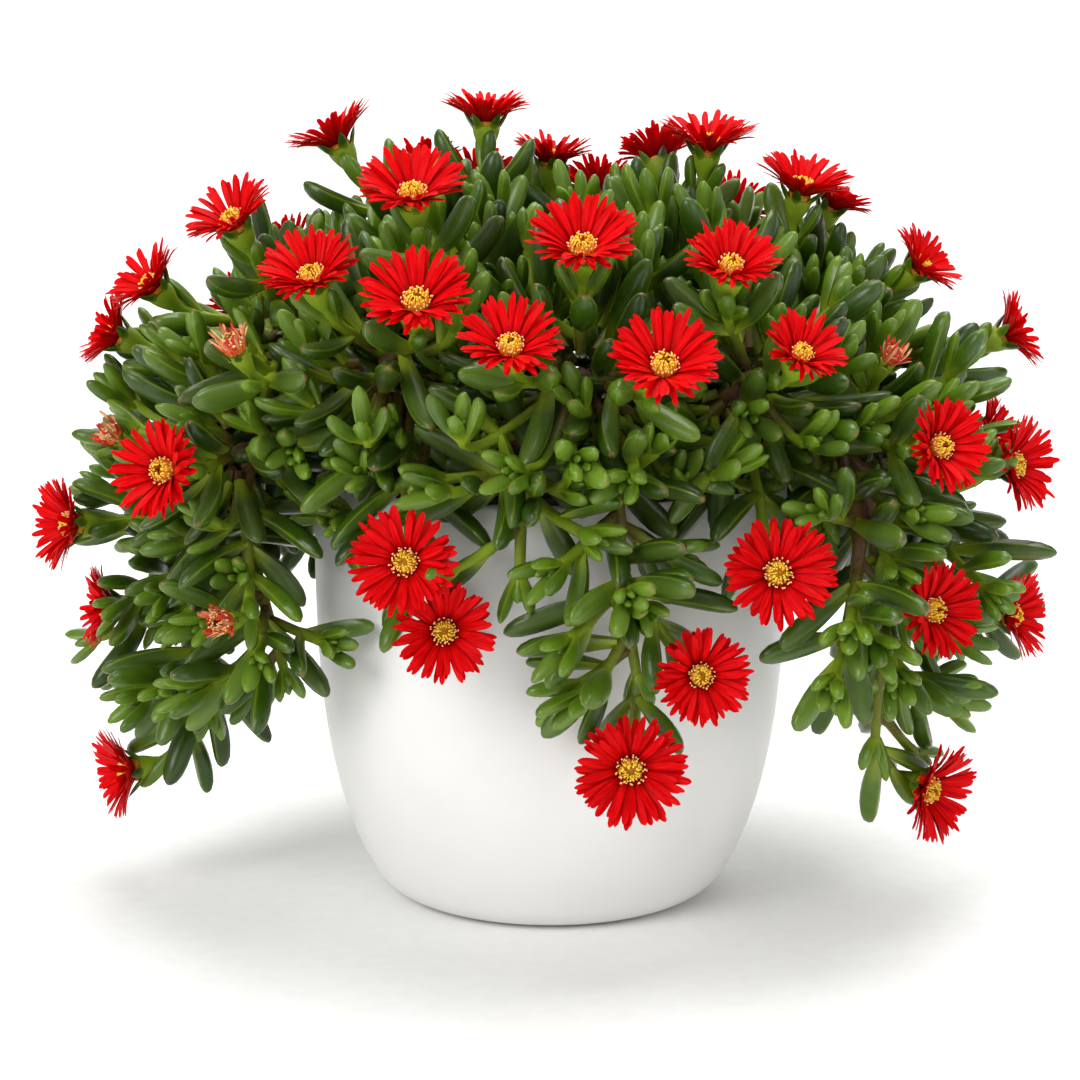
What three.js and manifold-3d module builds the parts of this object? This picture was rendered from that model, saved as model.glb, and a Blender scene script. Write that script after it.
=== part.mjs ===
// Potted ice plant: a plain white tapered pot, filled with soil, with a fleshy-leaved plant that domes over it,
// hangs over its rim and carries red many-petalled blooms.
// Millimetres, +Z up, the front is -Y. The origin is the middle of the flat face that the pot stands on.

import * as THREE from 'three';
import { mergeVertices } from 'three/addons/utils/BufferGeometryUtils.js';
import Module from 'manifold-3d';

const wasm = await Module();
wasm.setup();
const { Manifold } = wasm;
const UP = new THREE.Vector3(0, 0, 1);

// Pot
const POT_HEIGHT = 134;
const POT_RIM_RADIUS = 75;
const POT_TAPER = 17;
const POT_TAPER_POWER = 3.7;
const POT_FOOT_FLAT_RADIUS = 42.4;
const POT_FOOT_ROUND = 17;
const POT_FOOT_LEAN = THREE.MathUtils.degToRad(27);
const POT_WALL = 4;
const POT_FLOOR = 6;
const POT_RIM_ROUND = 1.2;
const POT_SIDES = 26;
const POT_WALL_STEPS = 4;
const POT_FOOT_STEPS = 2;
const POT_INSIDE_LEVELS = [76, 28];

// Soil
const SOIL_TOP = 126;
const SOIL_MOUND = 2.4;
const SOIL_LUMP = 1.2;
const SOIL_SIDES = 16;
const SOIL_WALL_GAP = 1;
const SOIL_CLEAR = 4.5;
const TOUCH_GAP = 0.35;

// Stems and stalks
const STEM_RADIUS = 2.6;
const STEM_SIDES = 4;
const STEM_FOOT = 116;
const STEM_HOLE_SIDES = 6;
const STEM_HOLE_RADIUS = 3.4;
const SHOOT_RADIUS = 1.6;
const PATH_STEPS = 8;
const CUP_LENGTH = 9;
const CUP_RADIUS = 4.4;
const CUP_RISE = 0.5;
const STALK_BARE = 2.4;
const SPRIG_LENGTH = 28;
const SPRIGS_FROM = 0.55;
const SPRIG_PAIRS = 2;
const BEND_STEP = 25;
const STEM_STEPS = 2;
const CUP_FULL_BLOOM = 12;

// Leaves, from the tip of a shoot inwards: how far each pair opens, its length and its spacing
const LEAF_OPEN = [24, 42, 54, 60, 62].map(THREE.MathUtils.degToRad);
const LEAF_LENGTH = [15, 21, 25, 26, 26];
const LEAF_SPACING = [3, 8, 10, 11, 11];
const LEAF_SLENDER = 0.3;
const LEAF_WIDTH_RANGE = [4.8, 7.6];
const LEAF_CURL = 0.4;
const LEAF_RISE = 0.16;
const LEAF_FOOT = 3.6;
const LEAF_BELLY = 0.34;
const LEAF_SHOULDER = 0.8;
const LEAF_SHOULDER_WIDTH = 0.84;
const LEAF_KEEL = 0.46;
const LEAF_TOP = 0.26;
const LEAF_PROBES = 5;
const LEAF_TRIES = [[0, 0, 1], [0.4, 0, 1], [-0.4, 0, 1], [0, -0.25, 1], [0.7, 0.15, 0.9], [-0.7, 0.15, 0.9]];

// Blooms
const PETALS = 10;
const PETAL_VALLEY = 0.58;
const PETAL_SHOULDER = 0.82;
const PETAL_HALF_WIDTH = 0.38;
const PETAL_SWAY = 0.2;
const PETAL_LAYER_STEP = 1.1;
const BLOOM_RISE = 0.3;
const BLOOM_FLARE = 0.7;
const BLOOM_SEAT = 1.2;
const STAMEN_RISE = 0.36;
const SPENT_PETALS = 6;
const SPENT_RAGGED = 0.35;

// The dome that the tips of the leafy shoots reach
const DOME_MIDDLE = new THREE.Vector3(0, 0, 140);
const DOME_SIZE = new THREE.Vector3(142, 122, 92);
const DOME_TRIES = 330;
const DOME_SEED = 1000;
const SPRIG_SEED = 100;
const DOME_LOWEST = -0.3;
const DOME_HIGHEST = 0.98;
const DOME_FRONT_LOWEST = 150;
const DOME_FRONT = -60;
const TIP_REACH = [0.84, 0.93];
const TIP_APART = 35;
const TIP_FROM_BLOOM = 15;
const TIP_FROM_LEAF = 22;

// Room that pieces keep
const OTHER_GAP = 0.7;
const OWN_GAP = 0.2;
const HEAD_BELOW = 2.6;
const HEAD_ABOVE = 3.4;
const FLOOR_CLEAR = 12;
const CORE_OVER_POT = 3;
const CORE_SHARE = 0.6;
const CORE_SEED = 20000;
const CORE_LEAF_LOOK = 0.1;
const CORE_LEAF_SHARE = 0.34;
const CORE_LEAF_LENGTH = 25;
const CORE_LEAF_WIDTH = 7;
const CORE_LEAF_TRIES = [[0, 0], [0.4, 0.1], [-0.4, 0.1], [0, 0.5], [0, -0.5]];
const LEAF_SEED = 100000;

// Colours
const WHITE_GLAZE = { color: 0xe9e8e6, roughness: 0.45, metalness: 0 };
const DARK_SOIL = { color: 0x2b211a, roughness: 0.95, metalness: 0 };
const LEAF_GREEN = { color: 0x4a7034, roughness: 0.5, metalness: 0 };
const PETAL_RED = { color: 0xd8131f, roughness: 0.45, metalness: 0 };
const SPENT_RED = { color: 0xc9655a, roughness: 0.8, metalness: 0 };

// Main stems. Each stands in the soil at the first point of its route, or leaves another stem at a share of its
// length, and forks near its last point. A core is the thick of the bunch, which the leaves stand out of. A hanging
// stem has pairs of leaves of its own, and sprigs, which are its side shoots.
const STEMS = [
  {
    node: 'leafy_stems_top',
    name: 'top_left',
    core: 18,
    route: [[0, -2], [-8, -8, 156], [-25, -16, 188]],
  },
  {
    node: 'leafy_stems_top',
    name: 'top_right',
    core: 18,
    from: ['top_left', 0.3],
    route: [[14, 2, 160], [30, 6, 190]],
  },
  {
    node: 'leafy_stems_front',
    name: 'front_right',
    core: 17,
    route: [[8, -38], [9, -54, 152], [8, -72, 170]],
  },
  {
    node: 'leafy_stems_front',
    name: 'front_left',
    core: 17,
    from: ['front_right', 0.35],
    route: [[-26, -52, 154], [-46, -60, 174]],
  },
  {
    node: 'leafy_stems_front',
    name: 'right_front',
    core: 17,
    from: ['front_right', 0.35],
    route: [[38, -50, 154], [58, -56, 168]],
  },
  {
    node: 'leafy_stems_front',
    name: 'front_spill',
    from: ['front_right', 0.3],
    pairs: 4,
    sprigs: 3,
    route: [[-4, -66, 147], [-8, -87, 139], [-9, -92, 116]],
  },
  {
    node: 'leafy_stems_right',
    name: 'right_upper',
    core: 18,
    route: [[42, 2], [58, 6, 158], [80, 8, 178]],
  },
  {
    node: 'leafy_stems_right',
    name: 'right_side',
    core: 14,
    from: ['right_upper', 0.35],
    route: [[74, -16, 150], [96, -26, 150]],
  },
  {
    node: 'leafy_stems_left',
    name: 'left_upper',
    core: 18,
    route: [[-42, -14], [-58, -14, 156], [-80, -20, 180]],
  },
  {
    node: 'leafy_stems_left',
    name: 'left_side',
    core: 14,
    from: ['left_upper', 0.35],
    route: [[-71, -33, 151], [-92, -41, 146]],
  },
  {
    node: 'leafy_stems_back',
    name: 'back_left',
    core: 18,
    route: [[-2, 34], [-30, 42, 156], [-56, 52, 176]],
  },
  {
    node: 'leafy_stems_back',
    name: 'back_right',
    core: 18,
    from: ['back_left', 0.25],
    route: [[30, 46, 158], [50, 56, 178]],
  },
  {
    node: 'leafy_stems_back',
    name: 'back_middle',
    core: 16,
    from: ['back_left', 0.25],
    route: [[0, 42, 160], [0, 54, 188]],
  },
  {
    node: 'leafy_stem_left_trail',
    name: 'left_trail',
    pairs: 6,
    sprigs: 4,
    route: [[-56, 8], [-66, 6, 148], [-90, 0, 150], [-104, -10, 116], [-106, -22, 62]],
  },
  {
    node: 'leafy_stem_left_trail',
    name: 'left_trail_front',
    from: ['left_trail', 0.42],
    pairs: 4,
    sprigs: 2,
    route: [[-92, -30, 118], [-80, -48, 80]],
  },
  {
    node: 'leafy_stem_left_trail',
    name: 'left_trail_side',
    from: ['left_trail', 0.42],
    pairs: 3,
    sprigs: 2,
    route: [[-118, 6, 118], [-124, 2, 88]],
  },
  {
    node: 'leafy_stem_centre_trail',
    name: 'centre_trail',
    pairs: 4,
    sprigs: 2,
    route: [[14, -57], [16, -68, 143], [18, -85, 141], [20, -90, 112], [24, -90, 88]],
  },
  {
    node: 'leafy_stem_right_trail',
    name: 'right_trail',
    pairs: 5,
    sprigs: 4,
    route: [[54, -32], [66, -40, 148], [86, -50, 146], [97, -56, 112], [96, -60, 62]],
  },
  {
    node: 'leafy_stem_right_trail',
    name: 'right_trail_front',
    from: ['right_trail', 0.42],
    pairs: 4,
    sprigs: 2,
    route: [[88, -74, 122], [82, -76, 84]],
  },
  {
    node: 'leafy_stem_right_trail',
    name: 'right_trail_side',
    from: ['right_trail', 0.42],
    pairs: 3,
    sprigs: 2,
    route: [[114, -36, 122], [122, -30, 88]],
  },
  {
    node: 'leafy_stem_back_trail',
    name: 'back_trail',
    pairs: 5,
    sprigs: 4,
    route: [[-6, 56], [-8, 68, 144], [-10, 88, 142], [-12, 96, 112], [-14, 98, 72]],
  },
];

// Blooms: node, stem, how far up the stem its shoot leaves, place, turn (0 faces the front and 90 the right),
// lift above level and width
const BLOOMS = [
  ['bloom_top_1', 'top_left', 1, [-20, -5, 244], 0, 84, 29],
  ['bloom_top_2', 'top_left', 1, [-65, -10, 237], -80, 62, 31],
  ['bloom_top_3', 'top_left', 1, [-38, -86, 220], -8, 58, 32],
  ['bloom_top_4', 'top_right', 1, [0, 20, 232], 40, 80, 27],
  ['bloom_top_5', 'top_right', 1, [16, 48, 222], 175, 62, 28],
  ['bloom_top_6', 'front_right', 1, [8, -98, 206], 0, 52, 32],
  ['bloom_top_7', 'top_right', 1, [48, -10, 235], 10, 78, 33],
  ['bloom_top_8', 'top_right', 1, [34, 11, 233], 200, 66, 26],
  ['bloom_right_upper_1', 'right_upper', 1, [76, -15, 222], 35, 68, 32],
  ['bloom_right_upper_2', 'right_upper', 1, [88, 6, 218], 78, 60, 26],
  ['bloom_right_upper_3', 'right_upper', 1, [113, -10, 199], 62, 40, 27],
  ['bloom_left_upper_1', 'left_upper', 1, [-90, -62, 213], -40, 52, 29],
  ['bloom_left_upper_2', 'left_upper', 1, [-119, -30, 194], -58, 44, 28],
  ['bloom_left_upper_3', 'left_upper', 1, [-132, -20, 179], -74, 28, 27],
  ['bloom_front_left_1', 'front_left', 1, [-65, -92, 198], -18, 55, 30],
  ['bloom_front_left_2', 'front_left', 1, [-36, -108, 192], 0, 46, 32],
  ['bloom_front_left_3', 'front_left', 0.8, [-40, -100, 122], -6, 12, 32],
  ['bloom_front_left_4', 'front_left', 0.7, [-30, -96, 102], 4, 8, 30],
  ['bloom_front_right_1', 'front_right', 1, [-11, -119, 181], 0, 46, 29],
  ['bloom_front_right_2', 'front_right', 1, [29, -120, 176], 4, 42, 31],
  ['bloom_right_front_1', 'right_front', 1, [48, -98, 201], 8, 54, 28],
  ['bloom_right_front_2', 'right_front', 1, [67, -100, 178], 22, 46, 25],
  ['bloom_right_front_3', 'right_front', 0.8, [62, -95, 118], 6, 12, 33],
  ['bloom_right_side_1', 'right_side', 1, [143, 0, 178], 78, 24, 28],
  ['bloom_right_side_2', 'right_side', 1, [107, -85, 152], 32, 14, 29],
  ['bloom_right_side_3', 'right_side', 1, [138, -35, 141], 48, 10, 31],
  ['bloom_right_side_4', 'right_side', 1, [135, -15, 148], 66, 20, 25],
  ['bloom_left_side_1', 'left_side', 1, [-109, -75, 144], -28, 14, 31],
  ['bloom_left_side_2', 'left_trail', 0.5, [-147, -20, 121], -58, 6, 31],
  ['bloom_left_trail_1', 'left_trail', 0.62, [-140, 0, 91], -72, 6, 29],
  ['bloom_left_trail_2', 'left_trail', 0.84, [-133, -10, 40], -64, -4, 32],
  ['bloom_centre_trail_1', 'centre_trail', 0.7, [41, -98, 90], 6, 8, 29],
  ['bloom_centre_trail_2', 'centre_trail', 1, [22, -97, 63], 0, 6, 34],
  ['bloom_right_trail_1', 'right_trail', 0.55, [109, -70, 103], 30, 10, 30],
  ['bloom_right_trail_2', 'right_trail', 0.5, [140, -30, 94], 58, 8, 29],
  ['bloom_right_trail_3', 'right_trail', 1, [112, -50, 45], 46, -8, 33],
  ['bloom_back_top_pair', 'back_left', 1, [-42, 54, 228], -150, 66, 30],
  ['bloom_back_top_pair', 'back_middle', 1, [-25, 66, 225], 176, 62, 30],
  ['bloom_back_left_1', 'back_left', 1, [-88, 58, 200], -128, 46, 31],
  ['bloom_back_left_2', 'back_left', 1, [-102, 52, 183], -118, 34, 29],
  ['bloom_back_left_3', 'back_left', 1, [-60, 104, 170], -154, 26, 31],
  ['bloom_back_right_pair', 'back_middle', 1, [11, 106, 198], 178, 44, 31],
  ['bloom_back_right_pair', 'back_right', 1, [25, 109, 188], 168, 36, 30],
  ['bloom_back_right_upper_pair', 'back_right', 1, [62, 66, 215], 140, 58, 31],
  ['bloom_back_right_upper_pair', 'back_right', 1, [79, 74, 200], 134, 46, 30],
  ['bloom_back_right_1', 'right_side', 1, [124, 42, 140], 104, 16, 30],
  ['bloom_back_trail_pair', 'back_trail', 0.75, [-36, 106, 102], -164, 8, 32],
  ['bloom_back_trail_pair', 'back_trail', 1, [-24, 109, 87], 178, 4, 30],
  ['bloom_back_trail_1', 'back_trail', 0.6, [34, 104, 116], 166, 10, 31],
];

// Withered heads, in the same form
const SPENT = [
  ['spent_bloom_1', 'left_upper', 1, [-86, -96, 180], -30, 50, 17],
  ['spent_bloom_2', 'left_side', 1, [-130, -40, 150], -62, 38, 16],
  ['spent_bloom_3', 'left_side', 0.9, [-93, -78, 101], -30, 10, 17],
  ['spent_bloom_4', 'right_side', 1, [97, -64, 175], 40, 48, 14],
];

// Draws and measures

/** A repeatable draw from 0 to 1 for a seed and a step. */
function draw(seed, step) {
  let bits = Math.imul(seed + 1, 374761393) ^ Math.imul(step + 1, 668265263);
  bits = Math.imul(bits ^ (bits >>> 13), 1274126177);
  bits ^= bits >>> 16;
  return (bits >>> 0) / 4294967296;
}

/** An even spread of numbers from 0 to 1, digit by digit in the given base. */
function spread(index, base) {
  let value = 0;
  let share = 1;
  for (let rest = index; rest > 0; rest = Math.floor(rest / base)) {
    share /= base;
    value += share * (rest % base);
  }
  return value;
}

/** The direction a bloom faces. */
function facing(turn, lift) {
  const t = THREE.MathUtils.degToRad(turn);
  const l = THREE.MathUtils.degToRad(lift);
  return new THREE.Vector3(Math.sin(t) * Math.cos(l), -Math.cos(t) * Math.cos(l), Math.sin(l));
}

/** Radius of the pot's outside at a height above its rounded foot. */
function potRadius(z) {
  const footHeight = POT_FOOT_ROUND * (1 - Math.sin(POT_FOOT_LEAN));
  const low = Math.max(POT_HEIGHT - z, 0) / (POT_HEIGHT - footHeight);
  return POT_RIM_RADIUS - POT_TAPER * low ** POT_TAPER_POWER;
}

/** Height of a petal's face over the seat of its bloom, at a share of the bloom's radius. */
function petalHeight(share, radius) {
  return 2 * BLOOM_RISE * radius * share ** BLOOM_FLARE;
}

/** A level direction square to the one given. */
function sideways(way) {
  const side = new THREE.Vector3(-way.y, way.x, 0);
  return side.length() < 0.1 ? new THREE.Vector3(1, 0, 0) : side.normalize();
}

/** Two directions square to a tangent, the first as near to the guide as can be. */
function across(tangent, guide) {
  const first = guide.clone().addScaledVector(tangent, -guide.dot(tangent)).normalize();
  const second = tangent.clone().cross(first);
  return [first, second];
}

/** A line through space, kept as short straight steps, with its length along them. */
class Route {
  constructor(points) {
    this.points = points;
    this.marks = [0];
    for (let i = 1; i < points.length; i += 1) {
      this.marks.push(this.marks[i - 1] + points[i].distanceTo(points[i - 1]));
    }
    this.length = this.marks[points.length - 1];
    this.tangents = points.map((point, i) => {
      const before = points[Math.max(i - 1, 0)];
      const after = points[Math.min(i + 1, points.length - 1)];
      return after.clone().sub(before).normalize();
    });
  }

  /** Place and direction at a distance from the start, straight on past either end. */
  at(distance) {
    const last = this.points.length - 1;
    if (distance <= 0 || distance >= this.length) {
      const end = distance <= 0 ? 0 : last;
      const over = distance <= 0 ? distance : distance - this.length;
      const point = this.points[end].clone().addScaledVector(this.tangents[end], over);
      return { point, tangent: this.tangents[end].clone() };
    }
    let i = 1;
    while (this.marks[i] < distance) i += 1;
    const t = (distance - this.marks[i - 1]) / (this.marks[i] - this.marks[i - 1]);
    const point = this.points[i - 1].clone().lerp(this.points[i], t);
    const tangent = this.tangents[i - 1].clone().lerp(this.tangents[i], t).normalize();
    return { point, tangent };
  }

  /** Evenly spaced points from a distance along the route to its end. */
  probes(from, spacing) {
    const rest = this.length - from;
    const count = Math.max(2, Math.ceil(rest / spacing) + 1);
    return Array.from({ length: count }, (_, i) => this.at(from + (rest * i) / (count - 1)).point);
  }
}

/** A smooth shoot from a start to a tip that leaves and arrives in the given directions. */
function arch(start, startWay, tip, tipWay) {
  const pull = start.distanceTo(tip) * 0.38;
  const nearStart = start.clone().addScaledVector(startWay, pull);
  const nearTip = tip.clone().addScaledVector(tipWay, -pull);
  const route = new Route(new THREE.CubicBezierCurve3(start, nearStart, nearTip, tip).getPoints(PATH_STEPS));
  route.tangents[0] = startWay.clone();
  route.tangents[PATH_STEPS] = tipWay.clone();
  return route;
}

// Solids

/** A closed solid from a geometry: shared corners are merged and flat slivers are dropped. */
function solid(geometry) {
  geometry.deleteAttribute('normal');
  geometry.deleteAttribute('uv');
  const merged = mergeVertices(geometry, 1e-4);
  const corners = merged.index.array;
  const kept = [];
  for (let i = 0; i < corners.length; i += 3) {
    const [a, b, c] = corners.subarray(i, i + 3);
    if (a !== b && b !== c && c !== a) kept.push(a, b, c);
  }
  return new Manifold(new wasm.Mesh({
    numProp: 3,
    vertProperties: merged.attributes.position.array,
    triVerts: new Uint32Array(kept),
  }));
}

/** A named mesh from a closed solid. */
function meshOf(name, body, look) {
  const { vertProperties, triVerts } = body.getMesh();
  const geometry = new THREE.BufferGeometry();
  geometry.setAttribute('position', new THREE.BufferAttribute(new Float32Array(vertProperties), 3));
  geometry.setIndex(new THREE.BufferAttribute(new Uint32Array(triVerts), 1));
  const mesh = new THREE.Mesh(geometry, new THREE.MeshStandardMaterial(look));
  mesh.name = name;
  return mesh;
}

/** Corners and faces that are put together by hand, with every face turned outwards. */
class Shell {
  constructor() {
    this.corners = [];
    this.faces = [];
  }

  corner(point) {
    return this.corners.push(point.x, point.y, point.z) / 3 - 1;
  }

  /** Faces from one point to every side of a loop, turned to the side that the loop runs left round. */
  fan(point, loop) {
    loop.forEach((from, i) => this.faces.push(point, from, loop[(i + 1) % loop.length]));
  }

  /** A band between two loops of as many corners, the second further along. */
  band(low, high) {
    low.forEach((from, i) => {
      const next = (i + 1) % low.length;
      this.faces.push(from, low[next], high[next], from, high[next], high[i]);
    });
  }

  body() {
    const geometry = new THREE.BufferGeometry();
    geometry.setAttribute('position', new THREE.BufferAttribute(new Float32Array(this.corners), 3));
    geometry.setIndex(this.faces);
    return solid(geometry);
  }
}

// Pot and soil

/** Turns an outline, given as radius and height, round the Z axis. */
function turned(outline, sides) {
  const points = outline.map(([x, z]) => new THREE.Vector2(x, z));
  return new THREE.LatheGeometry(points, sides).rotateX(Math.PI / 2);
}

function makePot() {
  const outline = [[0, 0]];
  for (let i = 0; i <= POT_FOOT_STEPS; i += 1) {
    const angle = (i / POT_FOOT_STEPS) * (Math.PI / 2 - POT_FOOT_LEAN);
    const radius = POT_FOOT_FLAT_RADIUS + POT_FOOT_ROUND * Math.sin(angle);
    outline.push([radius, POT_FOOT_ROUND * (1 - Math.cos(angle))]);
  }
  const footTop = outline[outline.length - 1][1];
  const wallTop = POT_HEIGHT - POT_RIM_ROUND;
  for (let i = 1; i <= POT_WALL_STEPS; i += 1) {
    const z = footTop + ((wallTop - footTop) * i) / POT_WALL_STEPS;
    outline.push([potRadius(z), z]);
  }
  outline.push([POT_RIM_RADIUS - POT_RIM_ROUND, POT_HEIGHT], [POT_RIM_RADIUS - POT_WALL, wallTop]);
  for (const z of POT_INSIDE_LEVELS) outline.push([potRadius(z) - POT_WALL, z]);
  outline.push([POT_FOOT_FLAT_RADIUS, POT_FLOOR], [0, POT_FLOOR]);
  return solid(turned(outline, POT_SIDES));
}

/** The soil fills the pot, clear of its wall, with a low lumpy mound and a hole for the foot of each stem. */
function makeSoil(feet) {
  const inside = POT_WALL + SOIL_WALL_GAP;
  const outline = [[0, POT_FLOOR + TOUCH_GAP], [POT_FOOT_FLAT_RADIUS - 2, POT_FLOOR + TOUCH_GAP]];
  for (const z of [...POT_INSIDE_LEVELS].reverse()) outline.push([potRadius(z) - inside, z]);
  outline.push([POT_RIM_RADIUS - inside, SOIL_TOP]);
  outline.push([(POT_RIM_RADIUS - inside) * 0.6, SOIL_TOP + SOIL_MOUND * 0.7], [0, SOIL_TOP + SOIL_MOUND]);
  const geometry = turned(outline, SOIL_SIDES);
  const place = geometry.attributes.position;
  for (let i = 0; i < place.count; i += 1) {
    if (place.getZ(i) >= SOIL_TOP) {
      const lump = Math.sin(place.getX(i) * 0.21 + 1) * Math.cos(place.getY(i) * 0.17);
      place.setZ(i, place.getZ(i) + SOIL_LUMP * lump);
    }
  }
  const depth = 2 * (SOIL_TOP - STEM_FOOT + TOUCH_GAP);
  const holes = feet.map(([x, y]) => {
    const hole = new THREE.CylinderGeometry(STEM_HOLE_RADIUS, STEM_HOLE_RADIUS, depth, STEM_HOLE_SIDES);
    return solid(hole.rotateX(Math.PI / 2).translate(x, y, SOIL_TOP));
  });
  return solid(geometry).subtract(Manifold.union(holes));
}

// Where everything grows

/** Main stems by name, each with its line and, where it has a core, the middle of that core. */
function growStems() {
  const stems = new Map();
  for (const { node, name, route, from, core = 0, pairs = 0, sprigs = 0 } of STEMS) {
    const points = route.filter((place) => place.length === 3).map((place) => new THREE.Vector3(...place));
    const heart = points[points.length - 1];
    let foot = [];
    if (from) {
      const { line } = stems.get(from[0]);
      points.unshift(line.at(line.length * from[1]).point);
    } else {
      const [x, y] = route[0];
      points.unshift(new THREE.Vector3(x, y, SOIL_TOP + SOIL_CLEAR));
      foot = [new THREE.Vector3(x, y, STEM_FOOT)];
    }
    const curve = new THREE.CatmullRomCurve3(points, false, 'catmullrom', 0.5);
    const line = new Route([...foot, ...curve.getPoints(4 * (points.length - 1))]);
    stems.set(name, { node, name, line, core, pairs, sprigs, heart, rooted: !from, faces: [] });
  }
  return stems;
}

/** How far a core reaches in a direction: its own size, less where another piece's core or the pot is near. */
function coreReach(stem, way, stems) {
  let reach = stem.core;
  for (const other of stems.values()) {
    if (other.node === stem.node || other.core === 0) continue;
    const apart = other.heart.clone().sub(stem.heart);
    const gap = apart.length();
    const towards = way.dot(apart) / gap;
    const share = gap * (stem.core / (stem.core + other.core)) - OTHER_GAP;
    if (towards > 0) reach = Math.min(reach, share / towards);
  }
  if (way.z < 0) reach = Math.min(reach, (stem.heart.z - POT_HEIGHT - CORE_OVER_POT) / -way.z);
  return reach;
}

/** Keeps what has been placed and tells whether a new piece has room. */
class Room {
  constructor(stems, heads) {
    this.stems = stems;
    this.heads = heads;
    this.balls = [];
  }

  add(points, radius, owner, part) {
    for (const point of points) this.balls.push({ point, radius, owner, part });
  }

  inHead(point, radius, head) {
    const offset = point.clone().sub(head.place);
    const along = offset.dot(head.way);
    const out = offset.addScaledVector(head.way, -along).length();
    if (out > head.radius + radius + OTHER_GAP) return false;
    const face = petalHeight(Math.min(out / head.radius, 1), head.radius);
    return along > face - radius - HEAD_BELOW && along < face + radius + HEAD_ABOVE;
  }

  inPot(point, radius) {
    const out = Math.hypot(point.x, point.y);
    if (point.z > POT_HEIGHT + radius + OTHER_GAP) return false;
    if (out > POT_RIM_RADIUS + radius + OTHER_GAP) return point.z < radius + FLOOR_CLEAR;
    const insideWall = out < POT_RIM_RADIUS - POT_WALL - radius - OTHER_GAP;
    return !insideWall || point.z < SOIL_TOP + SOIL_CLEAR + radius;
  }

  inCore(point, radius, owner) {
    for (const stem of this.stems.values()) {
      if (stem.core === 0 || stem.node === owner) continue;
      const way = point.clone().sub(stem.heart);
      const far = way.length() - radius - OTHER_GAP;
      if (far < stem.core && far < coreReach(stem, way.normalize(), this.stems)) return true;
    }
    return false;
  }

  blocked(points, radius, owner, part) {
    return points.some((point) => {
      if (this.inPot(point, radius) || this.inCore(point, radius, owner)) return true;
      if (this.heads.some((head) => this.inHead(point, radius, head))) return true;
      return this.balls.some((ball) => {
        if (ball.part === part) return false;
        const gap = ball.owner === owner ? OWN_GAP : OTHER_GAP;
        return ball.point.distanceTo(point) < ball.radius + radius + gap;
      });
    });
  }
}

/** A shoot on its line. Its first pair of leaves is turned round it by its own turn. */
function shootOn(stem, line, seed, { head = null, pairs = 1, radius = SHOOT_RADIUS }) {
  const fromHeart = line.points[0].distanceTo(stem.heart) < 1;
  const start = fromHeart && stem.core > 0 ? CORE_SHARE * coreReach(stem, line.tangents[0], stems) : 0;
  const lead = head ? CUP_LENGTH + STALK_BARE : 0;
  const guide = sideways(line.tangents[line.tangents.length - 1]);
  const turn = draw(seed, 2) * Math.PI;
  return { stem, line, seed, head, pairs, radius, start, lead, guide, turn, leaves: [] };
}

/** The shoot that carries a bloom or withered head. */
function headShoot(head, seed) {
  const stem = stems.get(head.stem);
  const fromHeart = head.share === 1 && stem.core > 0;
  const { point, tangent } = stem.line.at(stem.line.length * head.share);
  const seat = head.place.clone().addScaledVector(head.way, -BLOOM_SEAT - TOUCH_GAP);
  const way = seat.clone().sub(point).normalize().addScaledVector(tangent, fromHeart ? 0 : 0.6).normalize();
  return shootOn(stem, arch(point, way, seat, head.way), seed, { head, pairs: 1 });
}

/** A side shoot of a hanging stem, to the left and right in turn, shorter where it must be, or null. */
function sprig(stem, step, seed, room) {
  const share = SPRIGS_FROM + ((0.95 - SPRIGS_FROM) * step) / stem.sprigs;
  const { point, tangent } = stem.line.at(stem.line.length * share);
  const outward = new THREE.Vector3(point.x, point.y, 0).normalize();
  const side = outward.clone().cross(UP).multiplyScalar(step % 2 === 0 ? 1 : -1);
  for (const [hand, long] of [[1, 1], [1, 0.8], [-1, 1], [-1, 0.8], [1, 0.6]]) {
    const way = outward.clone().multiplyScalar(0.6).addScaledVector(side, hand).addScaledVector(tangent, 0.6);
    way.normalize();
    const tip = point.clone().addScaledVector(way, SPRIG_LENGTH * long * (0.9 + 0.3 * draw(seed, 1)));
    const line = arch(point, way, tip, way.clone().addScaledVector(UP, 0.15).normalize());
    const points = line.probes(8, 4);
    if (room.blocked(points, SHOOT_RADIUS, stem.node, seed)) continue;
    room.add(points, SHOOT_RADIUS, stem.node, seed);
    return shootOn(stem, line, seed, { pairs: SPRIG_PAIRS });
  }
  return null;
}

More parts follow.
